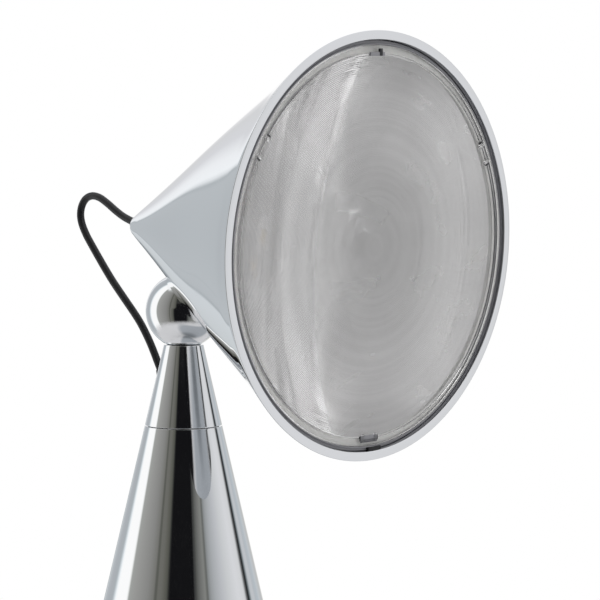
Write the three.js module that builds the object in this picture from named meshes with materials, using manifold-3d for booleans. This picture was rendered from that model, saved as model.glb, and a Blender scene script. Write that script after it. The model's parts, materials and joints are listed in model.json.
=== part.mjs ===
// A cordless spot lamp: a conical base and neck, a ball, and a wide conical head behind a lens.
// Millimetres, +Z up, the origin on the table under the base's axis. The head looks along -Y.
import * as THREE from "three";
import { mergeVertices } from "three/addons/utils/BufferGeometryUtils.js";
import Module from "manifold-3d";

const wasm = await Module();
wasm.setup();

// Clearances that all pieces share
const fitGap = 0.3;
const cutOver = 2;

// The cone that base and neck share
const baseRadius = 70;
const neckTopRadius = 10.1;
const neckTopHeight = 255.7;
const neckLength = 41.4;
const seamGap = 0.6;
const baseWall = 1.5;
const neckWall = 1.8;

// The foot, the plate and the ballast in the base
const padInset = 7;
const padThickness = 1.9;
const shellLift = 0.8;
const plateThickness = 2.4;
const ballastHeight = 14;
const ballastBore = 52;
const baseScrewInset = 24;
const baseScrewDepth = 7;
const baseScrewCount = 3;
const baseScrewStartDegrees = 90;

// Small screws
const screwRadius = 1.5;
const screwHeadRadius = 2.9;
const screwHeadHeight = 1.2;

// The battery pack
const cellRadius = 9.2;
const cellLength = 65;
const cellCircle = 17;
const cellCount = 3;
const cellStartDegrees = 30;
const cellNubRadius = 3.1;
const cellNubHeight = 1.5;
const cellSocketDepth = 3.5;
const trayThickness = 5.5;
const trayRim = 7;
const clampRim = 3.5;
const postRadius = 5.5;
const postBore = 3.2;
const clampNutRadius = 8.8;
const clampNutHeight = 4;
const clampThickness = 6.5;

// The power board on its pegs
const boardRadius = 26;
const boardThickness = 1.6;
const boardPegRadius = 2.5;
const boardPegHeight = 8;
const boardPegCircle = 21;
const boardPegStartDegrees = 90;
const coilSize = 12;
const coilHeight = 7;
const coilAside = 13;
const chipSize = 7;
const chipHeight = 1.4;
const chipAside = 13;
const chipForward = 8.7;

// The controls on the rear wall
const portHeight = 46;
const portWidth = 14;
const portOpening = 7;
const portDepth = 6.2;
const bezelWall = 1.5;
const bezelFloor = 1.6;
const bezelProud = 0.4;
const socketWidth = 9;
const socketThickness = 3.3;
const socketWall = 0.35;
const socketMouthDepth = 5;
const buttonRadius = 6.6;
const buttonDepth = 4;
const buttonProud = 0.9;
const buttonTravel = 0.8;
const stemRadius = 2.2;
const buttonPitch = 27;
const windowPitch = 14;
const windowRadius = 1.3;
const blockWidth = 26;
const blockEnd = 12;
const blockDepth = 14.2;
const controlBoardThickness = 1.6;
const tactSize = 6;
const tactHeight = 3.4;
const tactPlungerRadius = 1.7;
const controlScrewRadius = 1;
const controlScrewHeadRadius = 1.9;
const controlScrewInset = 4;
const controlScrewGrip = 4.7;

// The swivel between base and neck
const flangeInset = 0.5;
const flangeThickness = 8;
const bushWall = 1.7;
const bushFlangeThickness = 1;
const bushFlangeRadius = 9.8;
const spindleRadius = 5.7;
const spindleBore = 3.2;
const spindleHeadRadius = 8.6;
const spindleHeadHeight = 3;
const spindleTail = 1.5;
const neckPlateThickness = 4;
const washerThickness = 1;
const washerRadius = 10.3;
const swivelNutRadius = 10.3;
const swivelNutHeight = 4.5;
const stopPinRadius = 1.4;
const stopPinCircle = 13.6;
const stopPinReach = 3;
const stopWebDegrees = 14;

// The ball and its seat
const ballRadius = 19.5;
const seatRadius = 9.2;
const seatRingWidth = 1.2;
const seatRingInner = 7.3;
const seatRingDepth = 2.6;
const magnetRadius = 6;
const magnetHeight = 8;
const magnetPlugThickness = 3.4;
const plugSocketRadius = 2.5;

// The head's cone, its nose and its rim
const rimRadius = 100.7;
const headConeLength = 176.1;
const headDroopDegrees = 2.69;
const headWall = 1.5;
const noseRadius = 6.5;
const noseThickness = 7;
const rimLip = 4.4;
const rimRound = 1;
const ballSink = 6.65;
const ballSlant = 60.7;

// The lens, its gasket and its carrier
const lensFlangeWidth = 3.6;
const lensInset = 0.8;
const lensStep = 0.8;
const lensThickness = 2.4;
const fresnelDepth = 0.9;
const fresnelRings = 7;
const tabWidth = 9;
const tabThickness = 1.7;
const tabHookReach = 1.2;
const tabHookHeight = 1.5;
const tabDegrees = [30, 150, 270];
const carrierDepth = 4.8;
const carrierStep = 0.9;
const gasketDepth = 1.8;
const gasketWidth = 2.7;

// The ball's fixing in the head
const saddleRadius = 15;
const saddleThickness = 4.2;
const studRadius = 3;
const studGrip = 8;
const studWasherRadius = 6.9;
const studNutRadius = 6;
const studNutHeight = 4.4;
const studTail = 1.2;

// The light source
const heatsinkBack = 17;
const heatsinkFront = 34;
const heatsinkGroove = 2.6;
const heatsinkGrooveDepth = 2.2;
const ledBoardRadius = 13.5;
const ledBoardThickness = 1.6;
const ledChipRadius = 6;
const ledChipHeight = 1;
const ledCoverRadius = 15;
const ledCoverHeight = 3;
const ledScrewCircle = 10.4;
const ledScrewCount = 2;
const ledScrewDepth = 4;
const ledScrewRadius = 1.2;
const ledScrewHeadRadius = 2.3;
const ledWireBore = 3.6;
const ledReflectorLean = 1;

// The lead and its outlets
const leadDiameter = 4;
const wireDiameter = 3;
const chargeWireDiameter = 2.4;
const noseOutletDegrees = 14;
const outletProud = 0.6;
const outletRadius = 3;
const noseOutletInside = 2;
const neckOutletDrop = 18.9;
const neckOutletDegrees = 60;
const neckOutletOutside = 6;
const neckOutletInside = 5.5;

// The lead outside, from the head's nose down to the neck, as [y, z] in the plane x = 0
const leadRoute = [
  [38.3, 318.1], [42.1, 319.3], [47, 321.2], [52.6, 324.1], [58.6, 327.6], [65.4, 330.8],
  [71.3, 331.6], [76.1, 330], [79.3, 326.4], [80.5, 321.8], [79.5, 316.9], [75.9, 310.8],
  [71.5, 305.4], [65.9, 298.9], [60.4, 292.7], [55.1, 287], [49.5, 281.5], [43.7, 276],
  [38, 270.6], [32.9, 265.3], [28.7, 260], [25.2, 255], [22.1, 249.9], [19.7, 245.7],
  [17.72, 242.26],
];

// The lead inside the neck, from the outlet to the spindle's lower end, as [y, height from the seam]
const neckRoute = [
  [11.67, 17.48], [10.2, 15.1], [8.2, 13.1], [5.6, 11.9], [3, 10.5], [1.1, 8.1], [0.3, 4.3],
  [0, -0.3], [0, -8.3], [0, -16.4],
];

// The wire from the charging board to the power board
const chargeRoute = [
  [43.1, 42.3], [40.6, 41.7], [37.4, 42.4], [34.6, 45.6], [33, 50.6], [32.2, 58], [32, 68], [31.8, 78],
  [31.6, 88], [31, 96], [29.2, 101.4], [26, 104.6], [22.6, 104.6], [21.1, 102.6], [21, 100.05],
];

// Numbers of flat facets around round pieces
const wideSides = 48;
const ballSides = 30;
const middleSides = 24;
const smallSides = 12;
const cordSides = 8;
const hexSides = 6;
const arcSteps = 6;

const radians = THREE.MathUtils.degToRad;

// Finishes
function finish(color, metalness, roughness) {
  return new THREE.MeshStandardMaterial({ color, metalness, roughness });
}
const chrome = finish(0xd4d7da, 1, 0.04);
const steel = finish(0x9a9da0, 1, 0.35);
const iron = finish(0x3c3d3f, 0.8, 0.6);
const aluminium = finish(0xb9bcbf, 1, 0.4);
const brass = finish(0xb5985a, 1, 0.3);
const blackRubber = finish(0x1b1b1c, 0, 0.6);
const blackPlastic = finish(0x242426, 0, 0.4);
const whitePlastic = finish(0xe9e9e6, 0, 0.5);
const acrylic = finish(0xe6ebed, 0, 0.05);
const circuitBoard = finish(0x1f5a3a, 0, 0.5);
const cellWrap = finish(0x2f6fa8, 0, 0.4);
const phosphor = finish(0xe8c84a, 0, 0.6);

// Geometry to a solid and back
function solid(geometry) {
  const bare = new THREE.BufferGeometry();
  bare.setAttribute("position", geometry.getAttribute("position"));
  bare.setIndex(geometry.getIndex());
  const merged = mergeVertices(bare, 1e-4);
  return new wasm.Manifold(new wasm.Mesh({
    numProp: 3,
    vertProperties: merged.getAttribute("position").array,
    triVerts: new Uint32Array(merged.getIndex().array),
  }));
}
function surface(body) {
  const mesh = body.getMesh();
  const geometry = new THREE.BufferGeometry();
  geometry.setAttribute("position", new THREE.BufferAttribute(mesh.vertProperties, 3));
  geometry.setIndex(new THREE.BufferAttribute(mesh.triVerts, 1));
  const flat = geometry.toNonIndexed();
  flat.computeVertexNormals();
  return flat;
}

// A body turned about Z from a closed profile of [radius, height]
function turned(profile, sides = middleSides) {
  const points = profile.map(([r, z]) => new THREE.Vector2(r, z));
  if (THREE.ShapeUtils.area(points) < 0) points.reverse();
  const start = points.findIndex((p, i) => {
    const before = points[(i + points.length - 1) % points.length];
    return p.x === 0 && before.x === 0;
  });
  const closed = start < 0
    ? [...points, points[0].clone()]
    : [...points.slice(start), ...points.slice(0, start)];
  return solid(new THREE.LatheGeometry(closed, sides).rotateX(Math.PI / 2));
}

// A disc or ring from one height to another
function disc(radius, low, high, sides = middleSides) {
  return turned([[0, low], [radius, low], [radius, high], [0, high]], sides);
}
function ring(inner, outer, low, high, sides = middleSides) {
  return turned([[inner, low], [outer, low], [outer, high], [inner, high]], sides);
}
function hexNut(bore, outer, low, high) {
  return disc(outer, low, high, hexSides)
    .subtract(disc(bore, low - cutOver, high + cutOver, smallSides));
}
function box(x, y, z) {
  return solid(new THREE.BoxGeometry(x, y, z));
}
function sphere(radius) {
  return solid(new THREE.SphereGeometry(radius, ballSides, ballSides / 2).rotateX(Math.PI / 2));
}
// A bar with round ends, its length along X and its thickness along Z
function stadium(width, height, low, high) {
  const round = height / 2;
  const reach = width / 2 - round;
  const outline = new THREE.Shape();
  outline.absarc(reach, 0, round, -Math.PI / 2, Math.PI / 2, false);
  outline.absarc(-reach, 0, round, Math.PI / 2, 3 * Math.PI / 2, false);
  const bar = new THREE.ExtrudeGeometry(outline, {
    depth: high - low, bevelEnabled: false, curveSegments: arcSteps,
  });
  return solid(bar.translate(0, 0, low));
}
// A cord along [y, z] points in the plane x = 0
function cord(route, diameter, stepLength) {
  const path = new THREE.CatmullRomCurve3(
    route.map(([y, z]) => new THREE.Vector3(0, y, z)), false, "centripetal",
  );
  const section = new THREE.Shape();
  for (let i = 0; i < cordSides; i++) {
    const turn = (2 * Math.PI * (i + 0.5)) / cordSides;
    const x = Math.cos(turn) * diameter / 2;
    const y = Math.sin(turn) * diameter / 2;
    if (i === 0) section.moveTo(x, y);
    else section.lineTo(x, y);
  }
  section.closePath();
  return solid(new THREE.ExtrudeGeometry(section, {
    steps: Math.ceil(path.getLength() / stepLength), extrudePath: path, bevelEnabled: false,
  }));
}

const lamp = new THREE.Group();

function place(name, body, material, group) {
  const mesh = new THREE.Mesh(surface(body), material);
  mesh.name = name;
  group.add(mesh);
}
function frameAt(parent, position, turnAboutX) {
  const group = new THREE.Group();
  group.position.set(...position);
  group.rotation.x = turnAboutX;
  parent.add(group);
  return group;
}
// A solid moved from a turned frame into that frame's parent
function moved(body, position, turnAboutX) {
  return body.rotate([THREE.MathUtils.radToDeg(turnAboutX), 0, 0]).translate(position);
}

// The shared cone of base and neck
const coneSlope = (baseRadius - neckTopRadius) / neckTopHeight;
const coneLean = Math.atan(coneSlope);
function coneRadius(z) {
  return baseRadius - coneSlope * z;
}
function insideRadius(z, wall) {
  return coneRadius(z) - wall / Math.cos(coneLean);
}
function coneFit(z, wall) {
  return insideRadius(z, wall) - fitGap / Math.cos(coneLean);
}
// A plate whose edge follows the inside of the cone's wall
function conePlate(bore, low, high, wall, sides = middleSides) {
  const outer = [[coneFit(low, wall), low], [coneFit(high, wall), high]];
  return turned([[bore, low], ...outer, [bore, high]], sides);
}

// Heights that follow from one another, from the table up
const seamHeight = neckTopHeight - neckLength;
const plateBottom = padThickness + fitGap;
const plateTop = plateBottom + plateThickness;
const ballastBottom = plateTop + fitGap;
const ballastTop = ballastBottom + ballastHeight;
const trayBottom = ballastTop + fitGap;
const trayTop = trayBottom + trayThickness;
const cellBottom = trayTop - cellSocketDepth + fitGap;
const cellTop = cellBottom + cellLength;
const clampBottom = cellTop + fitGap - cellSocketDepth;
const clampTop = clampBottom + clampThickness;
const clampNutBottom = clampTop + fitGap;
const postTop = clampNutBottom + clampNutHeight + fitGap;
const boardBottom = clampTop + boardPegHeight + fitGap;
const boardTop = boardBottom + boardThickness;
const baseTop = seamHeight - seamGap / 2;
const neckBottom = seamHeight + seamGap / 2;
const flangeTop = baseTop - flangeInset;
const flangeBottom = flangeTop - flangeThickness;
const bushFlangeTop = flangeTop + fitGap + bushFlangeThickness;
const neckPlateBottom = bushFlangeTop + fitGap;
const neckPlateTop = neckPlateBottom + neckPlateThickness;
const spindleHeadBottom = neckPlateTop + fitGap;
const washerTop = flangeBottom - fitGap;
const swivelNutTop = washerTop - washerThickness - fitGap;
const swivelNutBottom = swivelNutTop - swivelNutHeight;
const spindleEnd = swivelNutBottom - spindleTail;
const ballHeight = neckTopHeight + Math.sqrt((ballRadius + fitGap) ** 2 - seatRadius ** 2);
const magnetTop = ballHeight - ballRadius - fitGap;
const magnetBottom = magnetTop - magnetHeight;
const magnetPlugTop = magnetBottom - fitGap;

// Copies of one body set around Z
function around(body, count, radius, startDegrees) {
  const spots = [];
  for (let i = 0; i < count; i++) {
    const turn = radians(startDegrees + (360 * i) / count);
    spots.push(body.translate([radius * Math.cos(turn), radius * Math.sin(turn), 0]));
  }
  return spots;
}
function without(body, cuts) {
  return cuts.reduce((left, cut) => left.subtract(cut), body);
}
function joined(body, additions) {
  return additions.reduce((whole, piece) => whole.add(piece), body);
}
// A cap screw that points up from a head at the given height
function screw(headBottom, headRadius, headHeight, shankRadius, shankLength) {
  const neck = headBottom + headHeight;
  return turned([
    [0, headBottom], [headRadius, headBottom], [headRadius, neck],
    [shankRadius, neck], [shankRadius, neck + shankLength], [0, neck + shankLength],
  ], smallSides);
}

// The frame of the controls: Z out of the rear wall, Y down along it
const panelTurn = coneLean - Math.PI / 2;
const panelPlace = [0, coneRadius(portHeight), portHeight];
function onPanel(body) {
  return moved(body, panelPlace, panelTurn);
}
const bezelWidth = portWidth + 2 * bezelWall;
const bezelHeight = portOpening + 2 * bezelWall;
const bezelBack = -(portDepth + bezelFloor);
const buttonBezelInner = buttonRadius + fitGap;
const buttonBezelRadius = buttonBezelInner + bezelWall;
const buttonBack = buttonProud - buttonDepth;
const buttonBezelBack = buttonBack - buttonTravel - fitGap - bezelFloor;
const stemEnd = buttonBezelBack - fitGap;
const blockFront = -(baseWall + fitGap);
const blockBack = -blockDepth;
const controlBoardFront = blockBack - fitGap;
const controlBoardBack = controlBoardFront - controlBoardThickness;
const blockTop = -(buttonPitch + blockEnd);
const blockMiddle = (blockTop + blockEnd) / 2;
const blockLength = blockEnd - blockTop;

function makeControls(root) {
  const panel = frameAt(root, panelPlace, panelTurn);
  const socketHole = box(
    socketWidth + 2 * fitGap, socketThickness + 2 * fitGap, 2 * blockDepth,
  );
  const bezel = stadium(bezelWidth, bezelHeight, bezelBack, bezelProud)
    .subtract(stadium(portWidth, portOpening, -portDepth, bezelProud + cutOver))
    .subtract(socketHole);
  place("charge_bezel", bezel, blackPlastic, panel);

  const socketFront = -portDepth;
  const socketLength = socketFront - controlBoardFront - fitGap;
  const mouth = box(
    socketWidth - 2 * socketWall, socketThickness - 2 * socketWall, 2 * socketMouthDepth,
  ).translate([0, 0, socketFront]);
  const socket = box(socketWidth, socketThickness, socketLength)
    .translate([0, 0, socketFront - socketLength / 2])
    .subtract(mouth);
  place("charge_socket", socket, steel, panel);

  const up = (body, pitch) => body.translate([0, -pitch, 0]);
  const stemBore = disc(stemRadius + fitGap, buttonBezelBack - cutOver, bezelProud, smallSides);
  const buttonBezel = disc(buttonBezelRadius, buttonBezelBack, bezelProud)
    .subtract(disc(buttonBezelInner, buttonBezelBack + bezelFloor, bezelProud + cutOver))
    .subtract(stemBore);
  place("button_bezel", up(buttonBezel, buttonPitch), blackPlastic, panel);

  const button = disc(buttonRadius, buttonBack, buttonProud)
    .add(disc(stemRadius, stemEnd, buttonBack + bezelFloor, smallSides));
  place("power_button", up(button, buttonPitch), steel, panel);

  const tactBottom = controlBoardFront + fitGap;
  const plungerTop = stemEnd - buttonTravel - fitGap;
  const tact = box(tactSize, tactSize, tactHeight)
    .translate([0, 0, tactBottom + tactHeight / 2])
    .add(disc(tactPlungerRadius, tactBottom + tactHeight / 2, plungerTop, smallSides));
  place("tact_switch", up(tact, buttonPitch), blackPlastic, panel);

  const pipe = disc(windowRadius, controlBoardFront + fitGap, bezelProud / 2, smallSides);
  place("indicator_window", up(pipe, windowPitch), acrylic, panel);

  const screwAside = blockWidth / 2 - controlScrewInset;
  const atSpots = (body) => [-screwAside, screwAside].map((x) => body.translate([x, blockMiddle, 0]));
  const screwTip = blockBack + controlScrewGrip;
  const tactHole = (tactSize + 2 * fitGap) * Math.SQRT1_2;
  const block = without(
    box(blockWidth, blockLength, blockFront - blockBack)
      .translate([0, blockMiddle, (blockFront + blockBack) / 2]),
    [
      up(disc(buttonBezelRadius + fitGap, buttonBezelBack - fitGap, cutOver), buttonPitch),
      up(disc(tactHole, blockBack - cutOver, cutOver, smallSides), buttonPitch),
      up(disc(windowRadius + fitGap, blockBack - cutOver, cutOver, smallSides), windowPitch),
      stadium(bezelWidth + 2 * fitGap, bezelHeight + 2 * fitGap, bezelBack - fitGap, cutOver),
      socketHole,
      ...atSpots(disc(controlScrewRadius + fitGap, blockBack - cutOver, screwTip + fitGap, smallSides)),
    ],
  );
  const inside = conePlate(0, ballastTop, flangeBottom, baseWall, wideSides);
  place("control_block", onPanel(block).intersect(inside), blackPlastic, root);

  const board = without(
    box(blockWidth - 2 * bezelWall, blockLength - 2 * bezelWall, controlBoardThickness)
      .translate([0, blockMiddle, controlBoardFront - controlBoardThickness / 2]),
    atSpots(disc(controlScrewRadius + fitGap, controlBoardBack - cutOver, cutOver, smallSides)),
  );
  place("control_board", board, circuitBoard, panel);

  const headTop = controlBoardBack - fitGap;
  const boardScrew = screw(
    headTop - screwHeadHeight, controlScrewHeadRadius, screwHeadHeight,
    controlScrewRadius, screwTip - headTop,
  );
  atSpots(boardScrew).forEach((body, i) => place(`control_screw_${i + 1}`, body, steel, panel));
}

function makeBaseShell(root) {
  const shell = turned([
    [insideRadius(shellLift, baseWall), shellLift], [coneRadius(shellLift), shellLift],
    [coneRadius(baseTop), baseTop], [insideRadius(baseTop, baseWall), baseTop],
  ], wideSides);
  const reach = blockDepth / 2;
  const cuts = [
    stadium(bezelWidth + 2 * fitGap, bezelHeight + 2 * fitGap, -reach, reach),
    disc(buttonBezelRadius + fitGap, -reach, reach).translate([0, -buttonPitch, 0]),
    disc(windowRadius + fitGap, -reach, reach, smallSides).translate([0, -windowPitch, 0]),
  ];
  place("base_shell", without(shell, cuts.map(onPanel)), chrome, root);
}

function makeFoot(root) {
  place("foot_pad", disc(baseRadius - padInset, 0, padThickness), blackRubber, root);
  const baseScrewCircle = baseRadius - baseScrewInset;
  const headRoom = screwHeadHeight + 2 * fitGap;
  const holes = around(
    disc(screwRadius + fitGap, plateBottom - cutOver, ballastBottom + baseScrewDepth, smallSides),
    baseScrewCount, baseScrewCircle, baseScrewStartDegrees,
  );
  const heads = around(
    disc(screwHeadRadius + fitGap, plateBottom - cutOver, plateBottom + headRoom, smallSides),
    baseScrewCount, baseScrewCircle, baseScrewStartDegrees,
  );
  const plate = turned([
    [0, plateBottom], [coneFit(plateBottom, baseWall), plateBottom],
    [coneFit(plateTop, baseWall), plateTop], [0, plateTop],
  ]);
  place("base_plate", without(plate, [...holes, ...heads]), steel, root);
  const ballast = conePlate(ballastBore / 2, ballastBottom, ballastTop, baseWall);
  place("ballast_ring", without(ballast, holes), iron, root);
  const plateScrew = screw(
    plateBottom + fitGap, screwHeadRadius, screwHeadHeight, screwRadius,
    ballastBottom + baseScrewDepth - fitGap - plateBottom - fitGap - screwHeadHeight,
  );
  around(plateScrew, baseScrewCount, baseScrewCircle, baseScrewStartDegrees)
    .forEach((body, i) => place(`base_screw_${i + 1}`, body, steel, root));
}

function makeBattery(root) {
  const packRadius = cellCircle + cellRadius + trayRim;
  const tray = disc(packRadius, trayBottom, trayTop)
    .add(disc(postRadius, trayBottom, postTop, smallSides));
  const socket = disc(cellRadius + fitGap, cellBottom - fitGap, trayTop + cutOver);
  const traySockets = around(socket, cellCount, cellCircle, cellStartDegrees);
  const wireHole = disc(postBore, trayBottom - cutOver, postTop + cutOver, smallSides);
  place("battery_tray", without(tray, [...traySockets, wireHole]), blackPlastic, root);

  const nub = disc(cellNubRadius, cellTop - cellNubHeight, cellTop, smallSides);
  const cell = disc(cellRadius, cellBottom, cellTop - cellNubHeight).add(nub);
  around(cell, cellCount, cellCircle, cellStartDegrees)
    .forEach((body, i) => place(`battery_cell_${i + 1}`, body, cellWrap, root));

  const clampRadius = cellCircle + cellRadius + clampRim;
  const clampSockets = around(
    disc(cellRadius + fitGap, clampBottom - cutOver, cellTop + fitGap),
    cellCount, cellCircle, cellStartDegrees,
  );
  const pegs = around(
    disc(boardPegRadius, clampTop - fitGap, clampTop + boardPegHeight, smallSides),
    cellCount, boardPegCircle, boardPegStartDegrees,
  );
  const clamp = without(
    joined(disc(clampRadius, clampBottom, clampTop), pegs),
    [...clampSockets, disc(postRadius + fitGap, clampBottom - cutOver, clampTop + cutOver, smallSides)],
  );
  place("battery_clamp", clamp, blackPlastic, root);
  const nut = hexNut(
    postRadius + fitGap, clampNutRadius, clampNutBottom, clampNutBottom + clampNutHeight,
  );
  place("clamp_nut", nut, steel, root);
}

function makePowerBoard(root) {
  const coil = box(coilSize, coilSize, coilHeight)
    .translate([-coilAside, 0, boardTop + coilHeight / 2 - fitGap]);
  const chip = box(chipSize, chipSize, chipHeight + fitGap)
    .translate([chipAside, -chipForward, boardTop + chipHeight / 2]);
  const board = joined(disc(boardRadius, boardBottom, boardTop), [coil, chip]);
  place("power_board", board, circuitBoard, root);
  const straight = [[0, boardTop + fitGap], [0, (boardTop + spindleEnd) / 2], [0, spindleEnd - fitGap]];
  place("base_harness", cord(straight, wireDiameter, 6 * leadDiameter), blackRubber, root);
  place("charge_harness", cord(chargeRoute, chargeWireDiameter, leadDiameter), blackRubber, root);
}

function makeSwivelSeat(root) {
  const bushRadius = spindleRadius + fitGap + bushWall;
  const slotInner = stopPinCircle - stopPinRadius - fitGap;
  const slotOuter = stopPinCircle + stopPinRadius + fitGap;
  const slotFloor = flangeTop - stopPinReach - fitGap;
  const slot = ring(slotInner, slotOuter, slotFloor, flangeTop + cutOver)
    .subtract(
      box(2 * slotOuter * Math.tan(radians(stopWebDegrees) / 2), slotOuter, flangeThickness * 2)
        .translate([0, slotOuter / 2 + cutOver, flangeTop]),
    );
  const flange = conePlate(bushRadius + fitGap, flangeBottom, flangeTop, baseWall).subtract(slot);
  place("top_flange", flange, aluminium, root);
  const bush = turned([
    [spindleRadius + fitGap, flangeBottom], [bushRadius, flangeBottom],
    [bushRadius, flangeTop + fitGap], [bushFlangeRadius, flangeTop + fitGap],
    [bushFlangeRadius, bushFlangeTop], [spindleRadius + fitGap, bushFlangeTop],
  ]);
  place("swivel_bush", bush, whitePlastic, root);
}

// The frame of the neck's outlet: Z out along the lead
const neckOutletHeight = neckTopHeight - neckOutletDrop;
const neckOutletTurn = radians(neckOutletDegrees - 90);
const neckOutletPlace = [0, coneRadius(neckOutletHeight), neckOutletHeight];

function makeNeck(root) {
  const shell = turned([
    [insideRadius(neckBottom, neckWall), neckBottom], [coneRadius(neckBottom), neckBottom],
    [neckTopRadius, neckTopHeight], [magnetRadius + fitGap, neckTopHeight],
    [magnetRadius + fitGap, magnetBottom], [insideRadius(magnetBottom, neckWall), magnetBottom],
  ], wideSides);
  const ringOuter = seatRingInner + seatRingWidth;
  const ringBottom = neckTopHeight - seatRingDepth;
  const ballRoom = sphere(ballRadius + fitGap).translate([0, 0, ballHeight]);
  const outletHole = moved(
    disc(outletRadius + fitGap, -neckOutletInside - cutOver, neckOutletOutside + cutOver, smallSides),
    neckOutletPlace, neckOutletTurn,
  );
  const groove = ring(seatRingInner - fitGap, ringOuter + fitGap, ringBottom - fitGap, neckTopHeight);
  place("neck_shell", without(shell, [ballRoom, outletHole, groove]), chrome, root);
  const seat = ring(seatRingInner, ringOuter, ringBottom, neckTopHeight).subtract(ballRoom);
  place("seat_ring", seat, blackPlastic, root);
  place("seat_magnet", disc(magnetRadius, magnetBottom, magnetTop), steel, root);
  const plugBottom = magnetPlugTop - magnetPlugThickness;
  const plug = conePlate(plugSocketRadius, plugBottom, magnetPlugTop, neckWall);
  place("magnet_plug", plug, brass, root);

  const pinHole = disc(stopPinRadius + fitGap, neckPlateBottom - cutOver, neckPlateTop + cutOver, smallSides)
    .translate([0, -stopPinCircle, 0]);
  const plate = conePlate(spindleRadius + fitGap, neckPlateBottom, neckPlateTop, neckWall);
  place("neck_plate", plate.subtract(pinHole), steel, root);
  const pin = disc(stopPinRadius, flangeTop - stopPinReach, neckPlateTop, smallSides)
    .translate([0, -stopPinCircle, 0]);
  place("stop_pin", pin, steel, root);

  const spindleTop = spindleHeadBottom + spindleHeadHeight;
  const spindle = disc(spindleHeadRadius, spindleHeadBottom, spindleTop, hexSides)
    .add(disc(spindleRadius, spindleEnd, spindleTop))
    .subtract(disc(spindleBore, spindleEnd - cutOver, spindleTop + cutOver, smallSides));
  place("swivel_spindle", spindle, steel, root);
  const washer = ring(spindleRadius + fitGap, washerRadius, washerTop - washerThickness, washerTop);
  place("spring_washer", washer, steel, root);
  const nut = hexNut(spindleRadius + fitGap, swivelNutRadius, swivelNutBottom, swivelNutTop);
  place("swivel_nut", nut, brass, root);

  const outlet = frameAt(root, neckOutletPlace, neckOutletTurn);
  const grommet = turned([
    [0, -neckOutletInside], [outletRadius, -neckOutletInside], [outletRadius, neckOutletOutside / 2],
    [leadDiameter / 2 + fitGap, neckOutletOutside], [0, neckOutletOutside],
  ], smallSides);
  place("neck_grommet", grommet, blackRubber, outlet);
  const neckWire = neckRoute.map(([y, z]) => [y, seamHeight + z]);
  place("neck_lead", cord(neckWire, wireDiameter, wireDiameter), blackRubber, root);
  place("lead_loop", cord(leadRoute, leadDiameter, 2 * leadDiameter), blackRubber, root);
}

// The head's cone, in a frame at its own apex with Z forward and Y up
const headLean = Math.atan(rimRadius / headConeLength);
const ballOut = ballRadius - ballSink;
const ballAlong = ballSlant * Math.cos(headLean) - ballOut * Math.sin(headLean);
const ballAside = ballSlant * Math.sin(headLean) + ballOut * Math.cos(headLean);
const headInset = headWall / Math.cos(headLean);
function headInside(z) {
  return z * Math.tan(headLean) - headInset;
}
function headFit(z) {
  return headInside(z) - fitGap / Math.cos(headLean);
}
const noseCentre = noseRadius / Math.sin(headLean);
const noseInside = noseCentre - noseRadius + noseThickness;
const lipRadius = rimRadius - rimLip;
const lipBack = (lipRadius + headInset) / Math.tan(headLean);
const lensRadius = lipRadius - gasketWidth;
const lensFront = headConeLength - lensInset;
const lensBack = lensFront - lensStep - lensThickness;
const carrierTop = lensBack - fitGap;
const carrierBottom = carrierTop - carrierDepth;
const tabOuter = lensRadius - lensFlangeWidth;
const noseOutletTurn = radians(noseOutletDegrees - 180);
const ballTurn = headLean - Math.PI / 2;

function inBallFrame(body) {
  return moved(body, [0, -ballAside, ballAlong], ballTurn);
}

function makeHeadShell(head) {
  const rimHalf = (Math.PI / 2 - headLean) / 2;
  const nose = [];
  for (let i = 0; i <= arcSteps; i++) {
    const turn = ((Math.PI / 2 - headLean) * i) / arcSteps;
    nose.push([noseRadius * Math.sin(turn), noseCentre - noseRadius * Math.cos(turn)]);
  }
  const edge = [];
  for (let i = 0; i <= arcSteps / 2; i++) {
    const turn = -headLean + ((Math.PI / 2 + headLean) * i) / (arcSteps / 2);
    edge.push([
      rimRadius - rimRound / Math.tan(rimHalf) + rimRound * Math.cos(turn),
      headConeLength - rimRound + rimRound * Math.sin(turn),
    ]);
  }
  const shell = turned([
    ...nose, ...edge, [lipRadius, headConeLength], [lipRadius, lipBack],
    [headInside(noseInside), noseInside], [0, noseInside],
  ], wideSides);
  const ballRoom = inBallFrame(sphere(ballRadius + fitGap));
  const outletHole = moved(
    disc(outletRadius + fitGap, -noseThickness, noseRadius + cutOver, smallSides),
    [0, 0, noseCentre], noseOutletTurn,
  );
  place("head_shell", without(shell, [ballRoom, outletHole]), chrome, head);
}

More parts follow.
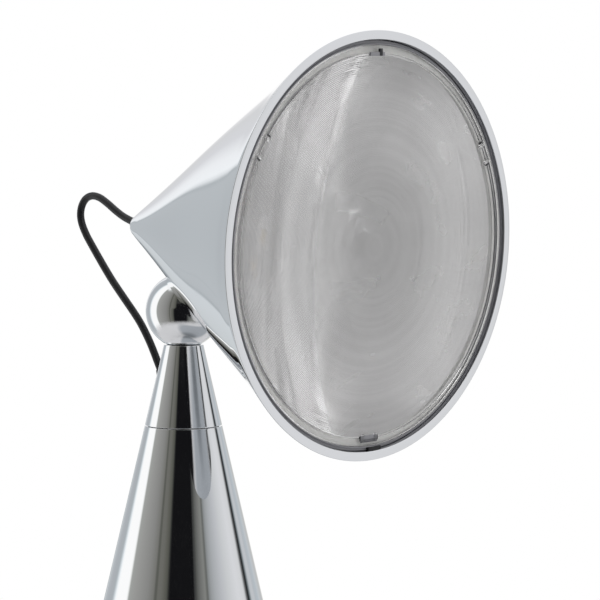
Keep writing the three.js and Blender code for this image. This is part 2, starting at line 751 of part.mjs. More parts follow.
function makeLens(head) {
  const discFront = lensFront - lensStep;
  const grooves = [];
  const pitch = tabOuter / fresnelRings;
  for (let i = 1; i < fresnelRings; i++) {
    grooves.push([pitch * i, lensBack], [pitch * i, lensBack + fresnelDepth]);
  }
  const plain = turned([
    [0, lensBack], ...grooves, [tabOuter, lensBack], [lensRadius, lensBack],
    [lensRadius, lensFront], [tabOuter, lensFront], [tabOuter, discFront], [0, discFront],
  ], wideSides);
  const tabBottom = carrierBottom - fitGap - tabHookHeight;
  const tab = box(tabThickness, tabWidth, lensBack + lensThickness / 2 - tabBottom)
    .translate([tabOuter - tabThickness / 2, 0, (lensBack + lensThickness / 2 + tabBottom) / 2]);
  const hook = box(tabHookReach + fitGap + tabThickness, tabWidth, tabHookHeight)
    .translate([tabOuter + (tabHookReach + fitGap - tabThickness) / 2, 0, tabBottom + tabHookHeight / 2]);
  const snap = tab.add(hook);
  const snaps = tabDegrees.map((turn) => snap.rotate([0, 0, turn]));
  place("fresnel_lens", joined(plain, snaps), acrylic, head);

  const stepHeight = carrierTop - carrierStep;
  const carrier = turned([
    [tabOuter + fitGap, carrierBottom], [headFit(carrierBottom), carrierBottom],
    [headFit(stepHeight), stepHeight], [lensRadius - fitGap, stepHeight],
    [lensRadius - fitGap, carrierTop], [tabOuter + fitGap, carrierTop],
  ], wideSides);
  place("lens_carrier", carrier, whitePlastic, head);

  const gasketBottom = stepHeight + fitGap;
  const gasket = turned([
    [lensRadius + fitGap, gasketBottom], [headFit(gasketBottom), gasketBottom],
    [lipRadius - fitGap, lipBack], [lipRadius - fitGap, gasketBottom + gasketDepth],
    [lensRadius + fitGap, gasketBottom + gasketDepth],
  ], wideSides);
  place("lens_gasket", gasket, blackRubber, head);
}

function makeBallMount(head) {
  const wallInside = ballOut + headWall;
  const saddleTop = ballRadius + fitGap + saddleThickness;
  const washerTopLevel = saddleTop + fitGap + washerThickness;
  const nutTop = washerTopLevel + fitGap + studNutHeight;
  const studBottom = ballRadius - studGrip;
  const studEnd = nutTop + studTail;
  const studHole = disc(studRadius + fitGap, studBottom - fitGap, studEnd, smallSides);
  const ballFrame = frameAt(head, [0, -ballAside, ballAlong], ballTurn);

  place("ball", sphere(ballRadius).subtract(studHole), chrome, ballFrame);
  place("ball_stud", disc(studRadius, studBottom, studEnd, smallSides), steel, ballFrame);
  const room = turned([
    [0, heatsinkFront], [headFit(heatsinkFront), heatsinkFront],
    [headFit(carrierBottom), carrierBottom], [0, carrierBottom],
  ], wideSides);
  const saddle = inBallFrame(disc(saddleRadius, wallInside - headWall, saddleTop)
    .subtract(sphere(ballRadius + fitGap))
    .subtract(studHole))
    .intersect(room);
  place("ball_saddle", saddle, steel, head);
  const studBore = studRadius + fitGap;
  const washer = ring(studBore, studWasherRadius, saddleTop + fitGap, washerTopLevel, smallSides);
  place("stud_washer", washer, steel, ballFrame);
  const nut = hexNut(studBore, studNutRadius, washerTopLevel + fitGap, nutTop);
  place("stud_nut", nut, brass, ballFrame);
}

function makeLight(head) {
  const grooves = [];
  const pitch = 2 * heatsinkGroove;
  const lastGroove = heatsinkFront - pitch;
  for (let z = heatsinkBack + heatsinkGroove; z <= lastGroove; z += pitch) {
    grooves.push([headFit(z), z], [headFit(z) - heatsinkGrooveDepth, z]);
    const far = z + heatsinkGroove;
    grooves.push([headFit(z) - heatsinkGrooveDepth, far], [headFit(far), far]);
  }
  const holeRadius = ledScrewRadius + fitGap;
  const holeEnd = heatsinkFront - ledScrewDepth - fitGap;
  const screwHole = disc(holeRadius, holeEnd, heatsinkFront + cutOver, smallSides);
  const sink = turned([
    [ledWireBore, heatsinkBack], [headFit(heatsinkBack), heatsinkBack], ...grooves,
    [headFit(heatsinkFront), heatsinkFront], [ledWireBore, heatsinkFront],
  ], middleSides);
  place("led_heatsink", without(sink, around(screwHole, ledScrewCount, ledScrewCircle, 0)), aluminium, head);

  const boardBack = heatsinkFront + fitGap;
  const boardFront = boardBack + ledBoardThickness;
  const coverBack = boardFront + fitGap;
  const coverFront = coverBack + ledCoverHeight;
  const through = around(
    disc(holeRadius, boardBack - cutOver, coverFront + cutOver, smallSides),
    ledScrewCount, ledScrewCircle, 0,
  );
  place("led_board", without(disc(ledBoardRadius, boardBack, boardFront), through), whitePlastic, head);
  place("led_chip", disc(ledChipRadius, coverBack, coverBack + ledChipHeight), phosphor, head);
  const cover = turned([
    [ledChipRadius + fitGap, coverBack], [ledCoverRadius, coverBack],
    [ledCoverRadius, coverFront], [ledChipRadius + fitGap + ledReflectorLean, coverFront],
  ]);
  place("led_cover", without(cover, through), whitePlastic, head);
  const headFront = coverFront + fitGap + screwHeadHeight;
  const ledScrew = screw(
    0, ledScrewHeadRadius, screwHeadHeight, ledScrewRadius,
    headFront - screwHeadHeight - (heatsinkFront - ledScrewDepth),
  ).rotate([180, 0, 0]).translate([0, 0, headFront]);
  around(ledScrew, ledScrewCount, ledScrewCircle, 0)
    .forEach((body, i) => place(`board_screw_${i + 1}`, body, steel, head));

  const outlet = frameAt(head, [0, 0, noseCentre], noseOutletTurn);
  const grommet = disc(outletRadius, -noseOutletInside, noseRadius + outletProud, smallSides);
  place("head_grommet", grommet, blackRubber, outlet);
  const start = noseOutletInside + fitGap;
  const tilt = radians(noseOutletDegrees);
  const inner = [noseCentre + start * Math.cos(tilt), -start * Math.sin(tilt)];
  const bend = wireDiameter / 2;
  const wire = [
    [inner[1], inner[0]],
    [inner[1] - bend * Math.sin(tilt), inner[0] + bend * Math.cos(tilt)],
    [inner[1] / 2, inner[0] + 2 * wireDiameter],
    [0, inner[0] + 3 * wireDiameter],
    [0, heatsinkFront],
  ];
  place("head_lead", cord(wire, wireDiameter, wireDiameter), blackRubber, head);
}

makeBaseShell(lamp);
makeFoot(lamp);
makeBattery(lamp);
makePowerBoard(lamp);
makeControls(lamp);
makeSwivelSeat(lamp);
makeNeck(lamp);
const tiltFrame = frameAt(lamp, [0, 0, ballHeight], Math.PI / 2 + radians(headDroopDegrees));
const headFrame = frameAt(tiltFrame, [0, ballAside, -ballAlong], 0);
makeHeadShell(headFrame);
makeLens(headFrame);
makeBallMount(headFrame);
makeLight(headFrame);

export default lamp;
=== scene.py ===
"""The looks of a cordless spot lamp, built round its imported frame.

Metres, +Z up, the origin on the table under the base's axis. The head looks along -Y.
"""

import json
import math

import bpy
import numpy as np
from bpy.props import FloatProperty, FloatVectorProperty, IntProperty, PointerProperty
from mathutils import Matrix, Vector


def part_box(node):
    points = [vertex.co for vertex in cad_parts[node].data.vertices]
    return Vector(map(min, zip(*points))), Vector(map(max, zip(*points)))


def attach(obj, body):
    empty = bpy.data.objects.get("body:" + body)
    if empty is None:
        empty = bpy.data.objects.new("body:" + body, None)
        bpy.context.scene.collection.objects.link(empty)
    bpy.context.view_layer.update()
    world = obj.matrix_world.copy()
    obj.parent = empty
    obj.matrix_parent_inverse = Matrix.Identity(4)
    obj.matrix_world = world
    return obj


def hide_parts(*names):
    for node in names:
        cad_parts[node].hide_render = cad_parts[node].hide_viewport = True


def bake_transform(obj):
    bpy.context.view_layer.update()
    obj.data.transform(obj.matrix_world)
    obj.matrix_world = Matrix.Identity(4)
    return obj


bl_info = {
    "name": "Cordless Spot Lamp",
    "version": (1, 0, 0),
    "blender": (4, 5, 0),
    "location": "View3D > Sidebar > Lamp",
    "description": "Builds the shells, lens, lead and finishes of a cordless spot lamp",
    "category": "Object",
}

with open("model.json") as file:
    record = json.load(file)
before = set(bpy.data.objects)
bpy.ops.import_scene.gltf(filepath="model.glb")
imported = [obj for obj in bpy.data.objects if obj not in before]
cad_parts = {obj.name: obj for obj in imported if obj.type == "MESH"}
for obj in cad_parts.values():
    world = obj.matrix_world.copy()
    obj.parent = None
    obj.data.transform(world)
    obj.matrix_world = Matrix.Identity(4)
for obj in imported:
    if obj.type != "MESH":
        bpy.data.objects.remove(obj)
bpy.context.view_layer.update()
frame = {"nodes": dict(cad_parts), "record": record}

# The gap between pieces that touch
FIT_GAP = 0.0003

# The roundings of small edges, from fine to soft
FINE, SMALL, SOFT, ROUND = 0.0002, 0.0003, 0.0004, 0.0005

# How often light may turn inside the ringed lens
LENS_BOUNCES = 32

# The most stops that one colour ramp holds
RAMP_STOPS = 32

# How clear the lens is from its middle (0) to its edge (1): painted shade, darkest at the middle
LENS_PAINTED_SHADE = [(0.1, 0.79), (0.45, 0.87), (0.72, 0.985), (0.85, 1)]

# How far below the neck's top the lead comes out there, and how steeply it rises, in degrees
NECK_OUTLET_DROP, NECK_OUTLET_RISE = 0.0189, 60

# The angle in degrees between the lead and the head's axis at the nose
NOSE_OUTLET_TURN = 14

# From where to where the holes for the lead are cut, along it, in the neck and in the nose
NECK_HOLE, NOSE_HOLE = (-0.0075, 0.008), (-0.004, 0.0085)

# How far the holes for the controls are cut to each side of the rear wall
WALL_CUT = 0.007

# The way along the lead from one ring of its tube to the next
LEAD_STEP = 0.0012

# The lead's route from the head's nose to the neck, as (y, z) in the plane x = 0
LEAD_ROUTE = [
    (0.0383, 0.3181), (0.0421, 0.3193), (0.047, 0.3212), (0.0526, 0.3241), (0.0586, 0.3276),
    (0.0654, 0.3308), (0.0713, 0.3316), (0.0761, 0.33), (0.0793, 0.3264), (0.0805, 0.3218),
    (0.0795, 0.3169), (0.0759, 0.3108), (0.0715, 0.3054), (0.0659, 0.2989), (0.0604, 0.2927),
    (0.0551, 0.287), (0.0495, 0.2815), (0.0437, 0.276), (0.038, 0.2706), (0.0329, 0.2653),
    (0.0287, 0.26), (0.0252, 0.255), (0.0221, 0.2499), (0.0197, 0.2457), (0.01772, 0.24226),
]

# The studio's walls by azimuth in degrees, anticlockwise from +X, as tones from 0 to 255
WALL_TONES = [
    (-180, (118, 118, 114)), (-177.5, (92, 93, 88)), (-175.5, (90, 91, 86)), (-173, (108, 108, 103)),
    (-168, (106, 106, 101)), (-164, (97, 97, 91)), (-160, (85, 86, 80)), (-158, (68, 69, 65)),
    (-155, (50, 50, 49)), (-119, (52, 53, 53)), (-116, (60, 61, 61)), (-114, (69, 70, 69)),
    (-112, (88, 89, 87)), (-108, (107, 108, 106)), (-100, (130, 131, 128)), (-97.5, (108, 110, 107)),
    (-96, (100, 102, 99)), (-94, (132, 135, 136)), (-90, (153, 156, 158)), (-84, (168, 171, 174)),
    (-72, (187, 189, 193)), (-60, (202, 204, 206)), (-44, (215, 216, 219)), (-32, (211, 212, 214)),
    (-29.5, (192, 194, 196)), (-26.5, (110, 111, 112)), (-22.5, (4, 6, 9)), (-19.5, (82, 88, 91)),
    (-16, (160, 166, 170)), (-14, (189, 193, 197)), (-8, (194, 197, 201)), (-3, (182, 187, 192)),
    (4, (182, 190, 196)), (11, (193, 198, 202)), (24, (189, 190, 190)), (33, (214, 214, 212)),
    (43, (250, 250, 250)), (48, (254, 254, 254)), (50.5, (226, 226, 228)), (54.5, (211, 212, 214)),
    (61, (214, 215, 219)), (66, (238, 240, 243)), (69, (241, 244, 247)), (69.7, (172, 178, 182)),
    (70.3, (184, 189, 193)), (76, (180, 185, 189)), (84, (174, 178, 183)), (97, (171, 177, 181)),
    (100, (180, 187, 192)), (104, (214, 221, 225)), (108, (247, 250, 252)), (112, (254, 254, 254)),
    (132, (254, 254, 254)), (134, (244, 245, 244)), (137.5, (160, 162, 159)), (148, (153, 153, 151)),
    (160, (144, 144, 142)), (170, (135, 135, 133)), (180, (118, 118, 114)),
]
LOW_TONES = [
    (46.5, (254, 254, 254)), (49.5, (250, 250, 250)), (51, (92, 98, 104)), (53, (120, 126, 130)),
    (58, (160, 166, 171)), (60.5, (200, 205, 208)), (67.3, (206, 211, 215)), (67.9, (170, 176, 180)),
    (68.5, (182, 187, 191)), (70.3, (184, 189, 193)),
]
CEILING_TONES = [
    (-180, (128, 128, 126)), (-150, (112, 113, 114)), (-122, (124, 125, 126)), (-112, (240, 240, 241)),
    (-50, (224, 225, 228)), (20, (240, 241, 243)), (50, (236, 238, 240)), (70, (214, 222, 226)),
    (84, (248, 249, 250)), (146, (246, 247, 248)), (156, (176, 180, 178)), (180, (128, 128, 126)),
]

# The dark screen beside the camera: the soft edges of its sides by azimuth and of its top by
# elevation, how far its lower part leans aside in degrees and where it does, and its tone
SCREEN_SIDES, SCREEN_TOP = ((-159.0, -153.5), (-115.5, -118.5)), (26.0, 20.0)
SCREEN_LEAN, LEAN_TOP, LEAN_SIDES = 7.0, (13.0, 5.0), ((-180.0, -170.0), (-100.0, -112.0))
SCREEN_TONE = (19, 19, 21)

# Where the walls have their low part, by azimuth, and its soft upper edge by elevation
LOW_SIDES, LOW_TOP = (46.6, 70.2), (-1.0, -3.0)

# The studio's front by azimuth, how high the ceiling starts at the back and at the front, the
# height of its soft edge, and the tone straight above and where it takes over
FRONT_SIDES = ((-120.0, -112.0), (60.0, 45.0))
CEILING_START, CEILING_EDGE = (50.0, 22.0), 8.0
ZENITH_TONE, ZENITH_EDGE = (236, 238, 241), (60.0, 84.0)

# The soft light on all that is matt or clear, from below and from above
SOFT_LIGHT = [(0.3, (0.86,) * 3), (0.7, (1.0,) * 3)]

# What the chrome sees of the table, as shares of its tone: near the foot and under the head, where it
# holds painted shadow, and beyond
SEEN_TABLE_WITH_PAINTED_SHADOWS = ((0.3, 0.325, 0.35), (0.5, 0.53, 0.57), (0.9, 0.9, 0.92))

# How far from the foot the table gets lighter out of its painted shadow, and the middle, radii and
# soft edge of the oval of painted shadow under the head
FOOT_SHADOW_FADE = (0.09, 0.16)
HEAD_SHADOW_MIDDLE, HEAD_SHADOW_RADII, HEAD_SHADOW_EDGE = (0.05, -0.18, 0), (0.32, 0.13, 1), (1.25, 0.75)

# Where the soft lamp hangs, as (x, y)
LAMP_PLACE = (-0.25, -0.2)

# The table's lower and upper face
TABLE_LOW, TABLE_HIGH = -0.03, -0.0001

# The record's finishes and the scene's finishes for them
FINISH_OF = {
    "chrome_shell": "shell_chrome", "chrome_head": "head_chrome", "steel": "steel",
    "button_steel": "steel", "iron": "cast_iron", "aluminium": "aluminium", "brass": "brass",
    "black_rubber": "rubber", "black_plastic": "black_plastic", "white_plastic": "white_plastic",
    "clear_plastic": "clear_lens", "circuit_board": "circuit_board", "cell_wrap": "cell_wrap",
    "phosphor": "phosphor",
}


def length(name, description, default):
    return FloatProperty(
        name=name, description=description, default=default,
        min=0, precision=4, unit="LENGTH", subtype="DISTANCE",
    )


def angle(name, description, degrees):
    return FloatProperty(
        name=name, description=description, default=math.radians(degrees),
        unit="ROTATION", subtype="ANGLE",
    )


def share(name, description, default):
    return FloatProperty(
        name=name, description=description, default=default,
        min=0, max=1, subtype="FACTOR",
    )


def colour(name, description, default):
    return FloatVectorProperty(
        name=name, description=description, default=default,
        size=4, min=0, max=1, subtype="COLOR",
    )


class LampSizes(bpy.types.PropertyGroup):
    """The lengths and angles that shape the lamp's pieces."""

    base_radius: length("Base radius", "Radius of the cone at the table", 0.07)
    neck_top_radius: length("Neck top radius", "Radius of the cone at its top", 0.0101)
    neck_top_height: length("Neck top height", "Height of the cone's top", 0.2557)
    neck_length: length("Neck length", "Length of the part above the seam", 0.0414)
    seam_gap: length("Seam", "Gap between base and neck", 0.0004)
    base_wall: length("Base wall", "Thickness of the base's shell", 0.0015)
    neck_wall: length("Neck wall", "Thickness of the neck's shell", 0.0018)
    shell_lift: length("Shell lift", "Height of the base shell's lower edge", 0.0008)
    pad_inset: length("Pad inset", "How far the foot pad stays inside the base", 0.007)
    pad_thickness: length("Pad thickness", "Thickness of the foot pad", 0.0019)
    ball_radius: length(
        "Ball radius", "Radius of the ball", (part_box("ball")[1].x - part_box("ball")[0].x) / 2
    )
    seat_radius: length("Seat radius", "Radius of the ball's seat", 0.0092)
    stud_bore: length("Stud bore", "Radius of the bore for the ball's stud", 0.0033)
    stud_depth: length("Stud depth", "Depth of that bore", 0.0083)
    rim_radius: length("Rim radius", "Radius of the head's cone at the rim", 0.1007)
    head_length: length("Head length", "Height of the head's full cone", 0.1761)
    head_droop: angle("Head droop", "How far the head looks down at rest", 2.69)
    head_wall: length("Head wall", "Thickness of the head's shell", 0.0015)
    nose_radius: length("Nose radius", "Radius of the head's round tip", 0.0065)
    nose_thickness: length("Nose thickness", "Depth of solid metal in the tip", 0.007)
    rim_lip: length("Rim lip", "Width of the rim's front face", 0.0044)
    rim_round: length("Rim edge", "Radius of the rim's outer edge", 0.0002)
    wave_height: length("Wave height", "Height of the faint waves in the head's sheet", 0.0003)
    wave_length: length("Wave length", "From one wave in the sheet to the next", 0.122)
    wave_middle: length("Wave place", "Where a wave stands, from the cone's point", 0.104)
    ball_sink: length("Ball sink", "How far the ball sits into the cone", 0.00665)
    ball_slant: length("Ball slant", "Distance from the tip to the ball", 0.0607)
    gasket_width: length("Gasket width", "Width of the groove round the lens", 0.0027)
    gasket_depth: length("Gasket depth", "Thickness of the gasket", 0.0024)
    lens_flange: length("Lens flange", "Width of the lens's flange", 0.0036)
    lens_inset: length("Lens inset", "How far the flange lies behind the rim", 0.0008)
    lens_step: length("Lens step", "How far the disc lies behind the flange", 0.0008)
    lens_thickness: length("Lens thickness", "Thickness of the disc", 0.0024)
    ring_pitch: length("Ring pitch", "Width of one ring of the lens", 0.0008)
    plain_rings: IntProperty(
        name="Plain rings", description="Rings left out at the lens's flat middle",
        default=8, min=1,
    )
    ring_slope: FloatProperty(
        name="Ring slope", description="Slope of the outermost ring's face", default=0.52, min=0,
    )
    ring_growth: FloatProperty(
        name="Ring growth", description="Power of the radius that the rings' slope follows",
        default=1.1, min=0,
    )
    carrier_depth: length("Carrier depth", "Depth of the ring behind the lens", 0.0048)
    tab_width: length("Tab width", "Width of a snap tab of the lens", 0.009)
    lead_diameter: length("Lead diameter", "Diameter of the lead", 0.004)
    outlet_radius: length("Outlet radius", "Radius of the lead's grommets", 0.003)
    port_height: length("Port height", "Height of the charging port", 0.046)
    port_width: length("Port width", "Width of the charging port", 0.014)
    port_opening: length("Port opening", "Height of the port's opening", 0.007)
    port_depth: length("Port depth", "Depth of the port", 0.0062)
    bezel_wall: length("Bezel wall", "Thickness of the bezels", 0.0015)
    bezel_floor: length("Bezel floor", "Thickness of the bezels' floors", 0.0016)
    bezel_proud: length("Bezel height", "How far the bezels stand out", 0.0004)
    button_radius: length("Button radius", "Radius of the power button", 0.0066)
    button_depth: length("Button depth", "Thickness of the power button", 0.004)
    button_proud: length("Button height", "How far the button stands out", 0.0009)
    button_travel: length("Button travel", "How far the button moves", 0.0008)
    button_pitch: length("Button pitch", "From the port up to the button", 0.027)
    window_pitch: length("Window pitch", "From the port up to the charge light", 0.014)
    window_radius: length("Window radius", "Radius of the charge light's window", 0.0013)


class LampColours(bpy.types.PropertyGroup):
    """The colours of the lamp's finishes."""

    chrome: colour("Chrome", "The polished shells", (0.96, 0.966, 0.972, 1))
    reflector: colour("Reflector", "The inside of the head at its rim", (0.88, 0.878, 0.88, 1))
    lens: colour("Lens", "The clear lens", (1, 0.998, 0.998, 1))
    rubber: colour("Rubber", "The lead, its grommets and the foot", (0.008, 0.008, 0.009, 1))
    gasket: colour("Gasket", "The soft ring round the lens", (0.2, 0.2, 0.215, 1))
    black_plastic: colour("Black plastic", "Bezels, trays and blocks", (0.016, 0.016, 0.018, 1))
    white_plastic: colour("White plastic", "The ring behind the lens", (0.72, 0.72, 0.7, 1))
    steel: colour("Steel", "Plates, pins and screws", (0.56, 0.57, 0.58, 1))
    brass: colour("Brass", "Nuts and plugs", (0.66, 0.47, 0.2, 1))
    aluminium: colour("Aluminium", "The heatsink and the flange", (0.7, 0.71, 0.72, 1))
    iron: colour("Iron", "The ballast", (0.07, 0.068, 0.066, 1))
    board: colour("Circuit board", "Boards", (0.012, 0.09, 0.035, 1))
    wrap: colour("Cell wrap", "The sleeves of the cells", (0.03, 0.16, 0.4, 1))
    phosphor: colour("Phosphor", "The light source", (0.8, 0.56, 0.1, 1))


class LampStudio(bpy.types.PropertyGroup):
    """Camera, table and light."""

    camera_place: FloatVectorProperty(
        name="Camera place", description="Where the camera stands",
        default=(-0.7082, -0.7445, 0.3325), size=3, unit="LENGTH", subtype="TRANSLATION",
    )
    camera_heading: angle("Camera heading", "Where the camera looks, from +X", 43.108)
    camera_pitch: angle("Camera pitch", "How far the camera looks down", 3)
    camera_roll: angle("Camera roll", "How far the camera leans", 0.206)
    camera_lens: FloatProperty(
        name="Focal length", description="The camera's focal length in millimetres",
        default=120.3, min=1, unit="CAMERA",
    )
    table_radius: length("Table radius", "Radius of the round table", 0.585)
    table_tone: share("Table tone", "How bright the table is", 0.55)
    lamp_height: length("Lamp height", "Height of the soft lamp over the table", 1.7)
    lamp_size: length("Lamp size", "Side of the soft lamp", 1.1)
    lamp_power: FloatProperty(
        name="Lamp power", description="Power of the soft lamp", default=9, min=0, unit="POWER",
    )


# Shapes


def arc(centre, radius, first, last, steps):
    """Points on a circle about centre, from the angle first to the angle last in radians."""
    turn = np.linspace(first, last, steps + 1)
    return np.c_[centre[0] + radius * np.cos(turn), centre[1] + radius * np.sin(turn)]


def eased(corners, steps=5):
    """A closed profile of (radius, height, rounding) corners with each corner rounded.

    The rounding's centre lies on the corner's bisector at rounding over the sine of half the
    corner's angle, and its arc runs between the two points where it touches the sides.
    """
    given = np.array([c[:2] for c in corners], float)
    before = np.roll(given, 1, axis=0) - given
    after = np.roll(given, -1, axis=0) - given
    rows = []
    for here, back, on, rounding in zip(given, before, after, [c[2] for c in corners]):
        if rounding == 0:
            rows.append(here[None])
            continue
        back = back / np.linalg.norm(back)
        on = on / np.linalg.norm(on)
        half = math.acos(np.clip(back @ on, -1, 1)) / 2
        middle = here + (back + on) / np.linalg.norm(back + on) * rounding / math.sin(half)
        start = here + back * rounding / math.tan(half) - middle
        end = here + on * rounding / math.tan(half) - middle
        t = np.linspace(0, 1, steps + 1)[:, None]
        spread = math.acos(np.clip(start @ end / rounding**2, -1, 1))
        rows.append(
            middle + (np.sin((1 - t) * spread) * start + np.sin(t * spread) * end) / math.sin(spread)
        )
    return np.vstack(rows)


def held(profile, near=0.0003, long=0.003):
    """The closed profile with a point just inside both ends of each long side.

    Smooth shading then bends only those short ends and leaves the side itself straight.
    """
    rows = []
    for here, way in zip(profile, np.roll(profile, -1, axis=0) - profile):
        rows.append(here)
        run = np.linalg.norm(way)
        if run > long:
            rows += [here + way * near / run, here + way * (1 - near / run)]
    return np.vstack(rows)


def carried(points, place):
    """The points of a piece, given in its own frame, as points of the scene."""
    frame_matrix = np.array(place)
    return points @ frame_matrix[:3, :3].T + frame_matrix[:3, 3]


def turned(profile, place=None, around=256, reach=(0, 0)):
    """Points and faces of a closed profile of (radius, height) carried round the Z axis.

    At the turn t a row's point is (reach x times the sign of cos t + radius cos t, reach y times
    the sign of sin t + radius sin t, height), so reach spreads the circle into a bar or a block
    with round corners. A radius of zero is one point on the axis.
    """
    profile = np.asarray(profile, float)
    turn = 2 * np.pi * (np.arange(around) + 0.5) / around
    c, s = np.cos(turn), np.sin(turn)
    on_axis = profile[:, 0] < 1e-9
    points = np.vstack([
        [(0, 0, height)] if pole else np.c_[
            reach[0] * np.sign(c) + radius * c, reach[1] * np.sign(s) + radius * s,
            np.full(around, height),
        ]
        for (radius, height), pole in zip(profile, on_axis)
    ])
    starts = np.cumsum([0, *np.where(on_axis, 1, around)])[:-1, None]
    here = starts + np.where(on_axis[:, None], 0, np.arange(around))
    ahead = np.roll(here, -1, axis=1)
    faces = np.stack([here, ahead, np.roll(ahead, -1, axis=0), np.roll(here, -1, axis=0)], -1)
    next_on_axis = np.roll(on_axis, -1)
    sides, caps = ~on_axis & ~next_on_axis, on_axis ^ next_on_axis
    quads = faces[sides].reshape(-1, 4)
    triangles = np.where(
        on_axis[caps][:, None, None], faces[caps][..., [0, 2, 3]], faces[caps][..., :3],
    ).reshape(-1, 3)
    rows = np.repeat(np.concatenate([np.flatnonzero(sides), np.flatnonzero(caps)]), around)
    if place is not None:
        points = carried(points, place)
    return points, quads, triangles, rows


def volume(points, quads, triangles):
    """Six times the signed volume: the sum of each triangle's corners' triple product."""
    flat = np.vstack([quads[:, [0, 1, 2]], quads[:, [0, 2, 3]], triangles])
    a, b, c = (points[flat[:, i]] for i in range(3))
    return (a * np.cross(b, c)).sum()


def new_object(name, points, quads, triangles, finishes=(), indices=None):
    """A mesh object with outward faces from a closed surface's points and faces."""
    if volume(points, quads, triangles) < 0:
        quads, triangles = quads[:, ::-1], triangles[:, ::-1]
    mesh = bpy.data.meshes.new(name)
    mesh.vertices.add(len(points))
    mesh.vertices.foreach_set("co", np.asarray(points, np.float32).ravel())
    corners = np.concatenate([quads.ravel(), triangles.ravel()]).astype(np.int32)
    mesh.loops.add(len(corners))
    mesh.loops.foreach_set("vertex_index", corners)
    starts = np.concatenate([
        4 * np.arange(len(quads)), 4 * len(quads) + 3 * np.arange(len(triangles)),
    ]).astype(np.int32)
    mesh.polygons.add(len(starts))
    mesh.polygons.foreach_set("loop_start", starts)
    for finish in finishes:
        mesh.materials.append(finish)
    if indices is not None:
        mesh.polygons.foreach_set("material_index", np.asarray(indices, np.int32))
    mesh.update(calc_edges=True)
    piece = bpy.data.objects.new(name, mesh)
    bpy.context.scene.collection.objects.link(piece)
    smooth(piece)
    return piece


def smooth(piece, degrees=32):
    piece.data.shade_smooth()
    piece.data.set_sharp_from_angle(angle=math.radians(degrees))


def cut(piece, *cutters):
    """Takes the cutters out of the piece, and removes them."""
    for cutter in cutters:
        modifier = piece.modifiers.new("cut", "BOOLEAN")
        modifier.operation = "DIFFERENCE"
        modifier.solver = "EXACT"
        modifier.object = cutter
    bpy.context.view_layer.update()
    ready = piece.evaluated_get(bpy.context.evaluated_depsgraph_get())
    mesh = bpy.data.meshes.new_from_object(ready)
    piece.modifiers.clear()
    old, piece.data = piece.data, mesh
    mesh.name = piece.name
    bpy.data.meshes.remove(old)
    for cutter in cutters:
        bpy.data.objects.remove(cutter)
    smooth(piece)


def place_piece(piece, body, nodes=()):
    """Lets the piece ride on a body and hides the nodes that it stands for."""
    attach(piece, body)
    if nodes:
        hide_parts(*nodes)


def turned_piece(name, profile, finish, place=None, around=256, reach=(0, 0)):
    profile = held(np.asarray(profile, float))
    return new_object(name, *turned(profile, place, around, reach)[:3], [finish])


def make_piece(
    name, body, slot, nodes, profile, place=None, around=256, reach=(0, 0), cutters=(), finish=None,
):
    """A turned piece on a body, less its cutters, in the slot's finish or in another."""
    finish = Finishes.get(finish or FINISH_OF[slot])
    piece = turned_piece(name, profile, finish, place, around, reach)
    if cutters:
        cut(piece, *cutters)
    place_piece(piece, body, nodes)


def bar(radius, low, high):
    """The profile of a round bar between two heights."""
    return [(0, low), (radius, low), (radius, high), (0, high)]


def new_cutter(profile, place, around=64, reach=(0, 0)):
    return new_object("cutter", *turned(profile, place, around, reach)[:3])


def smooth_route(route, step, pieces=40):
    """A centripetal Catmull-Rom curve through the route's points, at even steps.

    Between two points the curve is the blend of the three lines through neighbouring points,
    weighted by the square root of the distances between the points.
    """
    given = np.array(route, float)
    given = np.vstack([2 * given[0] - given[1], given, 2 * given[-1] - given[-2]])
    runs = []
    for four in zip(given, given[1:], given[2:], given[3:]):
        knots = [0]
        for here, on in zip(four, four[1:]):
            knots.append(knots[-1] + np.linalg.norm(on - here) ** 0.5)
        t = np.linspace(knots[1], knots[2], pieces, endpoint=False)[:, None]

        def line(first, last, low, high):
            """From first to last while t goes from the knot low to the knot high."""
            t0, t1 = knots[low], knots[high]
            return (t1 - t) / (t1 - t0) * first + (t - t0) / (t1 - t0) * last

        sides = [line(four[i], four[i + 1], i, i + 1) for i in range(3)]
        before, after = line(*sides[:2], 0, 2), line(*sides[1:], 1, 3)
        runs.append(line(before, after, 1, 2))
    fine = np.vstack(runs + [given[-2:-1]])
    along = np.concatenate([[0], np.cumsum(np.linalg.norm(np.diff(fine, axis=0), axis=1))])
    whole = along[-1]
    even = np.linspace(0, whole, int(np.ceil(whole / step)) + 1)
    return np.column_stack([np.interp(even, along, values) for values in fine.T]), whole


def tube(centres, radius, sides=20):
    """Points and faces of a round tube along centres in the plane x = 0, with closed ends.

    Ring k's point at the turn t is centre k + radius (cos t times X + sin t times the curve's
    normal in the plane), where the normal is the curve's direction turned by a right angle.
    """
    direction = np.gradient(centres, axis=0)
    direction /= np.linalg.norm(direction, axis=1)[:, None]
    normal = np.c_[-direction[:, 1], direction[:, 0]]
    turn = 2 * np.pi * np.arange(sides) / sides
    aside = radius * np.sin(turn)
    y = centres[:, :1] + aside * normal[:, :1]
    z = centres[:, 1:] + aside * normal[:, 1:]
    x = np.broadcast_to(radius * np.cos(turn), y.shape)
    ends = np.array([[0, *centres[0]], [0, *centres[-1]]])
    points = np.vstack([np.stack([x, y, z], axis=-1).reshape(-1, 3), ends])
    step = np.arange(sides)
    ahead = (step + 1) % sides
    rings = sides * np.arange(len(centres) - 1)[:, None]
    quads = np.stack([rings + step, rings + ahead, rings + sides + ahead, rings + sides + step], -1)
    last = sides * (len(centres) - 1)
    first_pole, last_pole = len(points) - 2, len(points) - 1
    triangles = np.vstack([
        np.c_[np.full(sides, first_pole), ahead, step],
        np.c_[np.full(sides, last_pole), last + step, last + ahead],
    ])
    return points, quads.reshape(-1, 4), triangles


# Places


def cone_slope(sizes):
    return (sizes.base_radius - sizes.neck_top_radius) / sizes.neck_top_height


def cone_radius(sizes, height):
    return sizes.base_radius - cone_slope(sizes) * height


def cone_lean(sizes):
    return math.atan(cone_slope(sizes))


